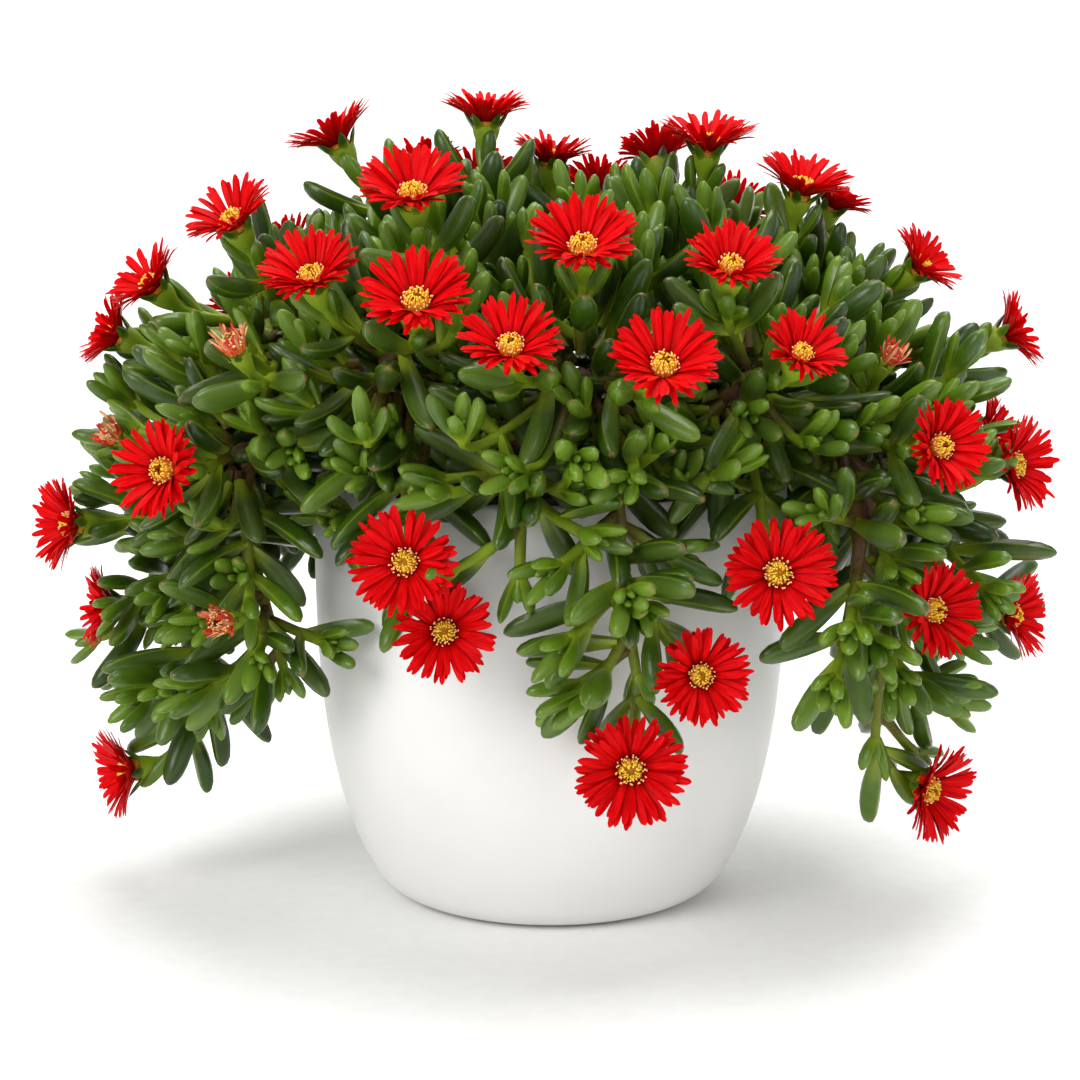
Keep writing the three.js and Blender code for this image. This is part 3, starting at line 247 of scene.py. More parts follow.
def draw(seed: int, step: int) -> float:
    """Gives a repeatable draw.

    Args:
        seed: what the draw is for.
        step: which draw of that seed.

    Returns:
        A number from 0 to 1.
    """
    bits = ((seed + 1) * 374761393 ^ (step + 1) * 668265263) & 0xFFFFFFFF
    bits = ((bits ^ (bits >> 13)) * 1274126177) & 0xFFFFFFFF
    bits ^= bits >> 16
    return bits / 4294967296


def spread(index: int, base: int) -> float:
    """Gives an even spread of numbers, digit by digit.

    Args:
        index: which number of the spread.
        base: the base that its digits are taken in.

    Returns:
        A number from 0 to 1.
    """
    value, share = 0.0, 1.0
    while index > 0:
        share /= base
        value += share * (index % base)
        index //= base
    return value


def unit(vector: Array) -> Array:
    """Gives the direction of a vector."""
    return vector / math.sqrt(float(vector @ vector))


def facing(turn: float, lift: float) -> Array:
    """Gives the direction that a bloom faces.

    Args:
        turn: degrees round the pot from the front.
        lift: degrees above level.

    Returns:
        A unit direction.
    """
    t, up = math.radians(turn), math.radians(lift)
    return np.array([math.sin(t) * math.cos(up), -math.cos(t) * math.cos(up), math.sin(up)])


def pot_radius(z: float) -> float:
    """Gives the radius of the pot's outside at a height above its rounded foot."""
    foot = POT_FOOT_ROUND * (1 - math.sin(POT_FOOT_LEAN))
    low = max(POT_HEIGHT - z, 0) / (POT_HEIGHT - foot)
    return POT_RIM_RADIUS - POT_TAPER * low**POT_TAPER_POWER


def face_height(share: float | Array, radius: float) -> float | Array:
    """Gives the height of a bloom's face over its seat at a share of its radius."""
    return 2 * BLOOM_RISE * radius * share**BLOOM_FLARE


def over_dome(index: int, lowest: float) -> tuple[Array, float, float]:
    """Gives one of many directions that are spread evenly over the dome.

    Args:
        index: which one it is.
        lowest: how low they go, where -1 is straight down.

    Returns:
        The direction, its turn round the pot in radians and how high it points.
    """
    turn, rise = 2 * math.pi * spread(index, 2), lowest + (DOME_HIGHEST - lowest) * spread(index, 3)
    level = math.sqrt(1 - rise * rise)
    return np.array([math.sin(turn) * level, -math.cos(turn) * level, rise]), turn, rise


def sideways(way: Array) -> Array:
    """Gives a level direction square to the one given."""
    side = np.array([-way[1], way[0], 0.0])
    return np.array([1.0, 0.0, 0.0]) if math.hypot(side[0], side[1]) < 0.1 else unit(side)


def across(tangent: Array, guide: Array) -> tuple[Array, Array]:
    """Gives two directions square to a tangent.

    Args:
        tangent: the direction along.
        guide: the direction that the first one is as near to as can be.

    Returns:
        The two directions.
    """
    first = unit(guide - tangent * float(guide @ tangent))
    return first, np.cross(tangent, first)


class Line:
    """A line through space, kept as short straight steps, with its length along them."""

    def __init__(self, points: Sequence[Array]) -> None:
        """Measures the steps between the points given.

        Args:
            points: the points.
        """
        self.points = np.array(points, dtype=float)
        steps = np.linalg.norm(np.diff(self.points, axis=0), axis=1)
        self.marks = np.concatenate([[0.0], np.cumsum(steps)])
        self.length = float(self.marks[-1])
        padded = np.concatenate([self.points[:1], self.points, self.points[-1:]])
        ways = padded[2:] - padded[:-2]
        self.tangents = ways / np.linalg.norm(ways, axis=1)[:, None]

    def at(self, distance: float) -> tuple[Array, Array]:
        """Finds the place at a distance from the start, straight on past either end.

        Args:
            distance: how far along the line.

        Returns:
            The point and the direction there.
        """
        if distance <= 0 or distance >= self.length:
            end = 0 if distance <= 0 else -1
            over = distance if distance <= 0 else distance - self.length
            return self.points[end] + self.tangents[end] * over, self.tangents[end].copy()
        i = max(int(np.searchsorted(self.marks, distance, side="left")), 1)
        t = (distance - self.marks[i - 1]) / (self.marks[i] - self.marks[i - 1])
        point = self.points[i - 1] * (1 - t) + self.points[i] * t
        return point, unit(self.tangents[i - 1] * (1 - t) + self.tangents[i] * t)

    def probes(self, start: float, spacing: float) -> Array:
        """Gives evenly spaced points from a distance along the line to its end.

        Args:
            start: the distance of the first.
            spacing: how far apart they are at most.

        Returns:
            The points.
        """
        rest = self.length - start
        count = max(2, math.ceil(rest / spacing) + 1)
        return np.array([self.at(start + rest * i / (count - 1))[0] for i in range(count)])


def arch(start: Array, start_way: Array, tip: Array, tip_way: Array) -> Line:
    """Draws a smooth shoot that leaves its start and arrives at its tip in the given directions.

    Args:
        start: where it leaves its stem.
        start_way: its direction there.
        tip: where it ends.
        tip_way: its direction there.

    Returns:
        The line of the shoot.
    """
    pull = math.sqrt(float((tip - start) @ (tip - start))) * ARCH_PULL
    near_start, near_tip = start + start_way * pull, tip - tip_way * pull
    points = []
    for i in range(PATH_STEPS + 1):
        t = i / PATH_STEPS
        k = 1 - t
        points.append(start * k**3 + near_start * 3 * k * k * t + near_tip * 3 * k * t * t + tip * t**3)
    line = Line(points)
    line.tangents[0], line.tangents[-1] = start_way, tip_way
    return line


def smooth_route(points: Sequence[Array], steps: int) -> list[Array]:
    """Runs a smooth curve through points.

    Args:
        points: the places it passes.
        steps: how many straight steps each span has.

    Returns:
        The points of the curve.
    """
    padded = [2 * points[0] - points[1], *points, 2 * points[-1] - points[-2]]
    made = []
    for span in range(len(points) - 1):
        before, a, b, after = padded[span : span + 4]
        leave, arrive = (b - before) * 0.5, (after - a) * 0.5
        for i in range(steps):
            t = i / steps
            curve = (2 * a - 2 * b + leave + arrive) * t**3 + (3 * b - 3 * a - 2 * leave - arrive) * t * t
            made.append(curve + leave * t + a)
    return [*made, points[-1]]


@dataclass
class Head:
    """A bloom or withered head: its node, its stem and where it sits and faces."""

    node: str
    stem: str
    share: float
    place: Array
    way: Array
    radius: float

    @property
    def spent(self) -> bool:
        """Tells whether the head has withered."""
        return self.node.startswith("spent")


@dataclass
class Stem:
    """A main stem, with the thick of its bunch round its heart."""

    node: str
    line: Line
    core: float
    heart: Array
    pairs: int
    sprigs: int


@dataclass
class Leaf:
    """A leaf on its line, with its width, the side its flat face looks to, its pair and its own draw."""

    line: Line
    width: float
    face: Array
    pair: int
    key: int


@dataclass
class Shoot:
    """A shoot on its line from its stem, with the leaves that stand on it."""

    stem: Stem
    line: Line
    seed: int
    pairs: int
    radius: float
    start: float
    lead: float
    guide: Array
    turn: float
    head: Head | None = None
    leaves: list[Leaf] = field(default_factory=list)

    def back_of(self, pair: int) -> float:
        """Gives how far back from the tip a pair of leaves stands."""
        return self.lead + sum(LEAF_SPACING[min(i, len(LEAF_SPACING) - 1)] for i in range(pair + 1))


class Room:
    """Keeps what has been placed and tells whether a new piece has room."""

    MOST = 40000

    def __init__(self, stems: Sequence[Stem], heads: Sequence[Head]) -> None:
        """Starts with nothing but the stems' cores and the heads.

        Args:
            stems: the main stems.
            heads: the blooms and withered heads.
        """
        self.cored = [stem for stem in stems if stem.core > 0]
        self.places = np.array([head.place for head in heads])
        self.ways = np.array([head.way for head in heads])
        self.radii = np.array([head.radius for head in heads])
        self.balls = np.zeros((self.MOST, 4))
        self.owners: list[str] = []
        self.owner_of, self.part_of = np.zeros((2, self.MOST), dtype=int)
        self.count = 0
        self.own_gap = OWN_GAP
        self.other_gap = OTHER_GAP
        self.core_scale = 1.0
        self.head_above = HEAD_ABOVE
        self.head_wide = 1.0

    def owner(self, name: str) -> int:
        """Gives the number of a node that owns pieces."""
        if name not in self.owners:
            self.owners.append(name)
        return self.owners.index(name)

    def add(self, points: Array, radius: float, owner: str, part: int) -> None:
        """Keeps a piece as balls along its points.

        Args:
            points: places along the piece.
            radius: how thick it is round them.
            owner: the node that it belongs to.
            part: its part number.
        """
        end = self.count + len(points)
        self.balls[self.count : end, :3] = points
        self.balls[self.count : end, 3] = radius
        self.owner_of[self.count : end] = self.owner(owner)
        self.part_of[self.count : end] = part
        self.count = end

    def gap_to(self, tip: Array) -> float:
        """Gives the distance from a point to the nearest ball's middle."""
        return float(np.linalg.norm(self.balls[: self.count, :3] - tip, axis=1).min())

    def nearest_core(self, tip: Array) -> Stem:
        """Gives the stem whose core has its heart nearest to a tip."""
        return min(self.cored, key=lambda stem: float(np.linalg.norm(stem.heart - tip)))

    def core_reach(self, stem: Stem, way: Array) -> float:
        """Gives how far a core reaches in a direction.

        Args:
            stem: the stem that the core belongs to.
            way: the direction from its heart.

        Returns:
            Its own size, less where the core of another node or the pot is near.
        """
        reach = float(stem.core)
        for other in self.cored:
            if other.node == stem.node:
                continue
            apart = other.heart - stem.heart
            gap = math.sqrt(float(apart @ apart))
            towards = float(way @ apart) / gap
            share = gap * (stem.core / (stem.core + other.core)) - OTHER_GAP
            if towards > 0:
                reach = min(reach, share / towards)
        if way[2] < 0:
            reach = min(reach, (stem.heart[2] - POT_HEIGHT - CORE_OVER_POT) / -way[2])
        return reach

    def in_head(self, points: Array, radius: float) -> bool:
        """Tells whether any point is in a head's room.

        Args:
            points: places along a piece.
            radius: how thick it is round them.

        Returns:
            True where one is.
        """
        offset = points[:, None, :] - self.places[None]
        along = np.einsum("ijk,jk->ij", offset, self.ways)
        out = np.linalg.norm(offset - along[..., None] * self.ways[None], axis=2)
        face = face_height(np.minimum(out / self.radii, 1), self.radii)
        near = out <= self.radii * self.head_wide + radius + OTHER_GAP
        return bool(np.any(near & (along > face - radius - HEAD_BELOW) & (along < face + radius + self.head_above)))

    def in_pot(self, points: Array, radius: float) -> bool:
        """Tells whether any point is in the pot, the soil or too near the ground.

        Args:
            points: places along a piece.
            radius: how thick it is round them.

        Returns:
            True where one is.
        """
        for x, y, z in points:
            out = math.hypot(x, y)
            if z > POT_HEIGHT + radius + OTHER_GAP:
                continue
            if out > POT_RIM_RADIUS + radius + OTHER_GAP:
                if z < radius + FLOOR_CLEAR:
                    return True
                continue
            inside = out < POT_RIM_RADIUS - POT_WALL - radius - OTHER_GAP
            if not inside or z < SOIL_TOP + SOIL_CLEAR + radius:
                return True
        return False

    def in_core(self, points: Array, radius: float, owner: str) -> bool:
        """Tells whether any point is in the core of another node.

        Args:
            points: places along a piece.
            radius: how thick it is round them.
            owner: its own node.

        Returns:
            True where one is.
        """
        for stem in self.cored:
            if stem.node == owner:
                continue
            ways = points - stem.heart
            lengths = np.linalg.norm(ways, axis=1)
            far = lengths - radius - OTHER_GAP
            for i in np.nonzero(far < stem.core * self.core_scale)[0]:
                if far[i] < self.core_reach(stem, ways[i] / lengths[i]) * self.core_scale:
                    return True
        return False

    def blocked(self, points: Array, radius: float, owner: str, part: int) -> bool:
        """Tells whether a new piece would meet anything.

        Args:
            points: places along the piece.
            radius: how thick it is round them.
            owner: the node that it belongs to.
            part: the number of the part that it may touch.

        Returns:
            True where something is in its way.
        """
        if self.in_pot(points, radius) or self.in_core(points, radius, owner) or self.in_head(points, radius):
            return True
        balls = self.balls[: self.count]
        own = self.owner_of[: self.count] == self.owner(owner)
        gaps = np.where(own, self.own_gap, self.other_gap) + balls[:, 3] + radius
        gaps[self.part_of[: self.count] == part] = -1
        low, high = points.min(axis=0) - 12, points.max(axis=0) + 12
        near = np.all((balls[:, :3] > low) & (balls[:, :3] < high), axis=1)
        offset = points[:, None, :] - balls[near, :3][None]
        return bool(np.any(np.sqrt(np.einsum("ijk,ijk->ij", offset, offset)) < gaps[near][None]))

    def takes(self, points: Array, radius: float, owner: str, part: int, number: int) -> bool:
        """Keeps a new piece where nothing is in its way.

        Args:
            points: places along the piece.
            radius: how thick it is round them.
            owner: the node that it belongs to.
            part: the number of the part that it may touch.
            number: its own part number.

        Returns:
            True where it has been kept.
        """
        free = not self.blocked(points, radius, owner, part)
        if free:
            self.add(points, radius, owner, number)
        return free


class Plant:
    """Everything that grows: the rule of the solids first, then the rest of the real plant's shoots and leaves."""

    def __init__(self) -> None:
        """Grows the plant."""
        rows = [*BLOOMS, *SPENT]
        self.heads = [
            Head(node, stem, share, np.array(place, dtype=float), facing(turn, lift), width / 2)
            for node, stem, share, place, turn, lift, width in rows
        ]
        self.stems: dict[str, Stem] = {}
        self.grow_stems()
        self.room = Room(list(self.stems.values()), self.heads)
        self.core_leaves: list[tuple[Stem, Leaf]] = []
        self.leaf_growth = 1.0
        self.shoots = self.grow_shoots()
        self.grow_leaves(self.shoots, range(max(shoot.pairs for shoot in self.shoots)))
        self.grow_rest()

    def grow_stems(self) -> None:
        """Lays the main stems."""
        for node, name, core, leaves_from, route, pairs, sprigs in STEMS:
            points = [np.array(place, dtype=float) for place in route if len(place) == 3]
            heart = points[-1]
            foot: list[Array] = []
            if leaves_from:
                source = self.stems[leaves_from[0]].line
                points.insert(0, source.at(source.length * leaves_from[1])[0])
            else:
                x, y = route[0]
                points.insert(0, np.array([x, y, SOIL_TOP + SOIL_CLEAR], dtype=float))
                foot = [np.array([x, y, STEM_FOOT], dtype=float)]
            line = Line([*foot, *smooth_route(points, 4)])
            self.stems[name] = Stem(node, line, core, heart, pairs, sprigs)

    def shoot_on(self, stem: Stem, line: Line, seed: int, head: Head | None, pairs: int, radius: float) -> Shoot:
        """Makes a shoot on its line.

        Args:
            stem: the stem that it leaves.
            line: where it runs.
            seed: what its draws are taken from.
            head: the bloom that it carries, if any.
            pairs: how many pairs of leaves it has.
            radius: how thick it is.

        Returns:
            The shoot, its first pair of leaves turned round it by its own turn.
        """
        from_heart = np.linalg.norm(line.points[0] - stem.heart) < 1
        start = CORE_SHARE * self.room.core_reach(stem, line.tangents[0]) if from_heart and stem.core > 0 else 0.0
        lead = CUP_LENGTH + STALK_BARE if head else 0.0
        guide = sideways(line.tangents[-1])
        return Shoot(stem, line, seed, pairs, radius, start, lead, guide, draw(seed, 2) * math.pi, head)

    def head_shoot(self, head: Head, seed: int) -> Shoot:
        """Makes the shoot that carries a head.

        Args:
            head: the head.
            seed: what its draws are taken from.

        Returns:
            The shoot.
        """
        stem = self.stems[head.stem]
        from_heart = head.share == 1 and stem.core > 0
        point, tangent = stem.line.at(stem.line.length * head.share)
        seat = head.place - head.way * (BLOOM_SEAT + TOUCH_GAP)
        way = unit(unit(seat - point) + tangent * (0 if from_heart else 0.6))
        return self.shoot_on(stem, arch(point, way, seat, head.way), seed, head, 1, SHOOT_RADIUS)

    def sprig(self, stem: Stem, step: int, seed: int) -> Shoot | None:
        """Makes a side shoot of a hanging stem, to the left and right in turn.

        Args:
            stem: the stem.
            step: which of its side shoots it is.
            seed: what its draws are taken from.

        Returns:
            The shoot, or None where there is no room.
        """
        share = SPRIGS_FROM + ((0.95 - SPRIGS_FROM) * step) / stem.sprigs
        point, tangent = stem.line.at(stem.line.length * share)
        outward = unit(np.array([point[0], point[1], 0.0]))
        side = np.cross(outward, UP) * (1 if step % 2 == 0 else -1)
        for hand, long in ((1, 1), (1, 0.8), (-1, 1), (-1, 0.8), (1, 0.6)):
            way = unit(outward * 0.6 + side * hand + tangent * 0.6)
            tip = point + way * (SPRIG_LENGTH * long * (0.9 + 0.3 * draw(seed, 1)))
            line = arch(point, way, tip, unit(way + UP * 0.15))
            if self.room.takes(line.probes(8, PROBE_STEP), SHOOT_RADIUS, stem.node, seed, seed):
                return self.shoot_on(stem, line, seed, None, SPRIG_PAIRS, SHOOT_RADIUS)
        return None

    def dome_shoots(self) -> list[Shoot]:
        """Spreads leafy tips over the dome, each on the nearest core, where blooms and stems leave room.

        Returns:
            The shoots.
        """
        tips: list[Array] = []
        shoots = []
        for i in range(1, DOME_TRIES + 1):
            seed = DOME_SEED + i
            way = over_dome(i, DOME_LOWEST)[0]
            reach = TIP_REACH[0] + (TIP_REACH[1] - TIP_REACH[0]) * draw(seed, 0)
            tip = way * DOME_SIZE * reach + DOME_MIDDLE
            if tip[2] < DOME_FRONT_LOWEST and tip[1] < DOME_FRONT:
                continue
            if any(np.linalg.norm(other - tip) < TIP_APART for other in tips):
                continue
            if self.room.gap_to(tip) < TIP_FROM_LEAF:
                continue
            if any(np.linalg.norm(head.place - tip) < head.radius + TIP_FROM_BLOOM for head in self.heads):
                continue
            stem = self.room.nearest_core(tip)
            outward = unit(unit(way / DOME_SIZE) + UP * 0.25)
            line = arch(stem.heart, unit(tip - stem.heart), tip, outward)
            clear = min(self.room.core_reach(stem, line.tangents[0]), line.length - 8)
            points = line.probes(clear, PROBE_STEP)
            if self.room.blocked(points, SHOOT_RADIUS + 0.5, stem.node, -1):
                continue
            self.room.add(points, SHOOT_RADIUS, stem.node, seed)
            tips.append(tip)
            shoots.append(self.shoot_on(stem, line, seed, None, 2, SHOOT_RADIUS))
        return shoots

    def grow_shoots(self) -> list[Shoot]:
        """Lays every shoot of the solids: for each head, on the hanging stems and over the dome.

        Returns:
            The shoots.
        """
        shoots = [self.head_shoot(head, i) for i, head in enumerate(self.heads)]
        for stem in self.stems.values():
            self.room.add(stem.line.probes(12, PROBE_STEP), STEM_RADIUS, stem.node, -1)
        for shoot in shoots:
            self.room.add(shoot.line.probes(3, PROBE_STEP), SHOOT_RADIUS, shoot.stem.node, shoot.seed)
        for i, stem in enumerate(self.room.cored):
            self.grow_core(stem, CORE_SEED * (i + 1))
        seed = SPRIG_SEED
        for stem in self.stems.values():
            if stem.sprigs == 0:
                continue
            shoots.append(self.shoot_on(stem, stem.line, seed, None, stem.pairs, STEM_RADIUS))
            sprigs = [self.sprig(stem, step, seed + step + 1) for step in range(stem.sprigs)]
            shoots.extend(sprig for sprig in sprigs if sprig)
            seed += SPRIG_SEED
        return [*shoots, *self.dome_shoots()]

    def grow_core(self, stem: Stem, seed: int) -> None:
        """Stands leaves on the faces of a core that look out of the plant and have room.

        Args:
            stem: the stem that the core belongs to.
            seed: what its draws are taken from.
        """
        for i, ways in enumerate(core_faces()):
            corners = [stem.heart + way * self.room.core_reach(stem, way) for way in ways]
            middle = (corners[0] + corners[1] + corners[2]) / 3
            normal = unit(np.cross(corners[1] - corners[0], corners[2] - corners[0]))
            outward = unit((middle - DOME_MIDDLE) / DOME_SIZE)
            key = seed + 3 * i
            if float(normal @ outward) > CORE_LEAF_LOOK and draw(key, 0) < CORE_LEAF_SHARE:
                self.core_leaf(stem, middle, normal, key)

    def core_leaf(self, stem: Stem, root: Array, normal: Array, key: int) -> None:
        """Stands a leaf out of a core where it has room, as drawn or a little bent.

        Args:
            stem: the stem that the core belongs to.
            root: where the leaf stands.
            normal: the direction out of the core there.
            key: what its draws are taken from.
        """
        aside = sideways(normal)
        length = CORE_LEAF_LENGTH * (0.85 + 0.3 * draw(key, 1))
        for swing, lift in CORE_LEAF_TRIES:
            lean = swing + (draw(key, 3) - 0.5) * 0.5
            way = unit(normal + aside * lean + UP * (lift + 0.3 * draw(key, 4)))
            tip_way = unit(way + UP * (LEAF_RISE * 2))
            middle = root + way * (length / 2)
            line = Line([root, middle, middle + tip_way * (length / 2)])
            points = line.probes(5, (line.length - 5) / LEAF_PROBES)
            if self.room.takes(points, CORE_LEAF_WIDTH / 2, stem.node, key, key):
                self.core_leaves.append((stem, Leaf(line, CORE_LEAF_WIDTH, UP, 3, key)))
                return

    def find_leaf(self, shoot: Shoot, pair: int, side: int, snug: float = LEAF_SNUG) -> Leaf | None:
        """Finds a leaf where it has room, as drawn or a little turned, closed up or shortened.

        Args:
            shoot: the shoot that it stands on.
            pair: which pair from the tip it is of.
            side: which leaf of the pair it is.
            snug: the share of its width that it keeps clear round its middle line.

        Returns:
            The leaf, or None where there is no room.
        """
        step = min(pair, len(LEAF_OPEN) - 1)
        back = shoot.back_of(pair)
        if back > shoot.line.length - shoot.start - LEAF_FOOT:
            return None
        key = shoot.seed * 16 + pair * 2 + side
        point, tangent = shoot.line.at(shoot.line.length - back)
        first, second = across(tangent, shoot.guide)
        angle = shoot.turn + math.pi * (pair / 2 + side)
        outward = first * math.cos(angle) + second * math.sin(angle)
        around = second * math.cos(angle) - first * math.sin(angle)
        root = point + outward * (shoot.radius * 0.6)
        length = LEAF_LENGTH[step] * (0.9 + 0.25 * draw(key, 1)) * self.leaf_growth
        width = min(max(length * LEAF_SLENDER, LEAF_WIDTH_RANGE[0]), LEAF_WIDTH_RANGE[1])
        for yaw, nod, long in LEAF_TRIES:
            opening = LEAF_OPEN[step] + nod + (draw(key, 4) - 0.5) * 0.2
            swing = yaw + (draw(key, 3) - 0.5) * 0.4
            out = outward * math.cos(swing) + around * math.sin(swing)
            way = tangent * math.cos(opening) + out * math.sin(opening)
            tip_way = unit(way + tangent * LEAF_CURL + UP * LEAF_RISE)
            middle = root + way * (length * long / 2)
            line = Line([root, middle, middle + tip_way * (length * long / 2)])
            points = line.probes(5, (line.length - 5) / LEAF_PROBES)
            if self.room.takes(points, width * snug, shoot.stem.node, shoot.seed, key + LEAF_SEED):
                return Leaf(line, width, tangent, pair, key)
        return None

    def grow_leaves(self, shoots: Sequence[Shoot], pairs: Iterable[int], snug: float = LEAF_SNUG) -> None:
        """Grows pairs of leaves on shoots, pair by pair from the tips inwards.

        Args:
            shoots: the shoots.
            pairs: which pairs, counted from the tip.
            snug: the share of its width that a leaf keeps clear round its middle line.
        """
        for pair in pairs:
            for shoot in shoots:
                for side in range(2 if pair < shoot.pairs else 0):
                    leaf = self.find_leaf(shoot, pair, side, snug)
                    if leaf:
                        shoot.leaves.append(leaf)

    def grow_rest(self) -> None:
        """Goes on past the solids: more pairs on their shoots, then many more leafy shoots with their own pairs."""
        self.room.own_gap, self.room.other_gap = MORE_OWN_GAP, MORE_OTHER_GAP
        self.room.core_scale = MORE_CORE_SCALE
        self.room.head_above, self.room.head_wide = MORE_HEAD_ABOVE, MORE_HEAD_WIDE
        self.leaf_growth = MORE_LEAF_GROWTH
        first_pair = {id(shoot): shoot.pairs for shoot in self.shoots}
        for shoot in self.shoots:
            shoot.pairs = MORE_PAIRS_ON_HANGING if shoot.radius == STEM_RADIUS else MORE_PAIRS
        for pair in range(1, MORE_PAIRS_ON_HANGING):
            late = [shoot for shoot in self.shoots if first_pair[id(shoot)] <= pair]
            self.grow_leaves(late, [pair], MORE_SNUG)
        more = self.more_sprigs()
        for apart, reach in MORE_LAYERS:
            more.extend(self.more_shoots(more, apart, reach))
        self.shoots.extend(more)

    def more_sprigs(self) -> list[Shoot]:
        """Grows more side shoots round the hanging stems, away from the pot.

        Returns:
            The new shoots with their leaves.
        """
        made = []
        hanging = [stem for stem in self.stems.values() if stem.sprigs > 0]
        for number, stem in enumerate(hanging):
            for step in range(MORE_SPRIGS):
                seed = MORE_SPRIG_SEED + number * 20 + step
                share = MORE_SPRIGS_FROM + MORE_SPRIGS_OVER * (step + 0.5 * draw(seed, 3)) / MORE_SPRIGS
                point, tangent = stem.line.at(stem.line.length * share)
                first, second = across(tangent, unit(np.array([point[0], point[1], 0.01])))
                turn = MORE_SPRIG_TURN * (2 * draw(seed, 4) - 1)
                out = first * math.cos(turn) + second * math.sin(turn)
                way = unit(out + tangent * (0.35 + 0.4 * draw(seed, 5)))
                low, high = MORE_SPRIG_LENGTH
                tip = point + way * (low + (high - low) * draw(seed, 6))
                line = arch(point, way, tip, unit(way + UP * (0.5 * draw(seed, 7) - 0.1)))
                points = line.probes(6, PROBE_STEP)
                if self.room.in_pot(points, 2) or self.room.in_head(points, 1):
                    continue
                shoot = self.shoot_on(stem, line, seed, None, MORE_PAIRS - 1, SHOOT_RADIUS)
                self.grow_leaves([shoot], range(shoot.pairs), MORE_SNUG)
                if len(shoot.leaves) > 1:
                    made.append(shoot)
        return made

    def more_shoots(self, others: Sequence[Shoot], apart: float, reach: tuple[float, float]) -> list[Shoot]:
        """Spreads more leafy shoots between those that stand.

        Args:
            others: the shoots that were spread before.
            apart: how far their tips keep from each other.
            reach: the shares of the dome's size between which their tips end.

        Returns:
            The new shoots with their leaves.
        """
        tips = [shoot.line.points[-1] for shoot in others]
        made = []
        for i in range(1, MORE_TRIES + 1):
            seed = MORE_SEED + int(apart * 100000) + i
            way, turn, rise = over_dome(i, MORE_LOWEST)
            uneven = MORE_UNEVEN * math.sin(5 * turn + 2) * math.sin(4 * rise + 1)
            tip = way * DOME_SIZE * (reach[0] + (reach[1] - reach[0]) * draw(seed, 0) + uneven) + DOME_MIDDLE
            if tip[2] < MORE_FRONT_LOWEST and tip[1] < DOME_FRONT:
                continue
            if tips and np.linalg.norm(np.array(tips) - tip, axis=1).min() < apart:
                continue
            if self.room.in_pot(tip[None], 6) or self.room.in_head(tip[None], 3) or self.room.gap_to(tip) < 5:
                continue
            stem = self.room.nearest_core(tip)
            sway = np.array([draw(seed, 5) - 0.5, draw(seed, 6) - 0.5, draw(seed, 7) - 0.4])
            outward = unit(unit(way / DOME_SIZE) + UP * 0.15 + sway * MORE_SWAY)
            line = arch(stem.heart, unit(tip - stem.heart), tip, outward)
            points = line.probes(max(line.length * 0.5, line.length - 30), PROBE_STEP)
            if self.room.in_pot(points, 2) or self.room.in_head(points, 1):
                continue
            shoot = self.shoot_on(stem, line, seed, None, MORE_PAIRS, SHOOT_RADIUS)
            self.grow_leaves([shoot], range(MORE_PAIRS), MORE_SNUG)
            if len(shoot.leaves) < 2:
                continue
            tips.append(tip)
            made.append(shoot)
        return made


def core_faces() -> list[list[Array]]:
    """Cuts an icosahedron into smaller faces, with every edge halved.

    Returns:
        The three corner directions of each face of a core.
    """
    t = (1 + math.sqrt(5)) / 2
    rows = [(-1, t, 0), (1, t, 0), (-1, -t, 0), (1, -t, 0), (0, -1, t), (0, 1, t)]
    corners = np.array([*rows, (0, -1, -t), (0, 1, -t), (t, 0, -1), (t, 0, 1), (-t, 0, -1), (-t, 0, 1)])
    triangles = [(0, 11, 5), (0, 5, 1), (0, 1, 7), (0, 7, 10), (0, 10, 11), (1, 5, 9), (5, 11, 4), (11, 10, 2)]
    triangles += [(10, 7, 6), (7, 1, 8), (3, 9, 4), (3, 4, 2), (3, 2, 6), (3, 6, 8), (3, 8, 9), (4, 9, 5), (2, 4, 11)]
    triangles += [(6, 2, 10), (8, 6, 7), (9, 8, 1)]
    faces = []
    for a, b, c in corners[np.array(triangles)]:
        ab, bc, ac = (a + b) / 2, (b + c) / 2, (a + c) / 2
        faces += [[ab, ac, a], [ab, bc, ac], [b, bc, ab], [bc, c, ac]]
    return [[unit(corner) for corner in face] for face in faces]


GOLDEN_TURN = math.pi * (3 - math.sqrt(5))


class Slot(Enum):
    """The record's material slots."""

    POT = "pot"
    SOIL = "soil"
    LEAVES = "leaves"
    PETALS = "petals"
    SPENT = "spent_petals"


def directions(vectors: Array) -> Array:
    """Gives the directions of many vectors."""
    return vectors / np.maximum(np.linalg.norm(vectors, axis=-1, keepdims=True), 1e-12)


def rough(points: Array, size: float, seed: int) -> Array:
    """Gives a smooth repeatable roughness.

    Args:
        points: where it is wanted, one row each.
        size: the distance between its bumps.
        seed: which roughness it is.

    Returns:
        A number from about -1 to 1 for each point.
    """
    total = np.zeros(len(points))
    for i in range(5):
        way = np.array([draw(seed, 3 * i) - 0.5, draw(seed, 3 * i + 1) - 0.5, draw(seed, 3 * i + 2) - 0.5])
        way = way / np.linalg.norm(way) * (2 * math.pi / size) * (0.7 + 0.6 * draw(seed, 40 + i))
        total += np.sin(points @ way + 6.28 * draw(seed, 60 + i))
    return total / 5


def round_rings(radius: Array, sides: int) -> tuple[Array, Array]:
    """Gives how far each corner of round rings lies aside and towards the top."""
    angle = np.arange(sides) * (2 * math.pi / sides)
    return radius * np.cos(angle), radius * np.sin(angle)


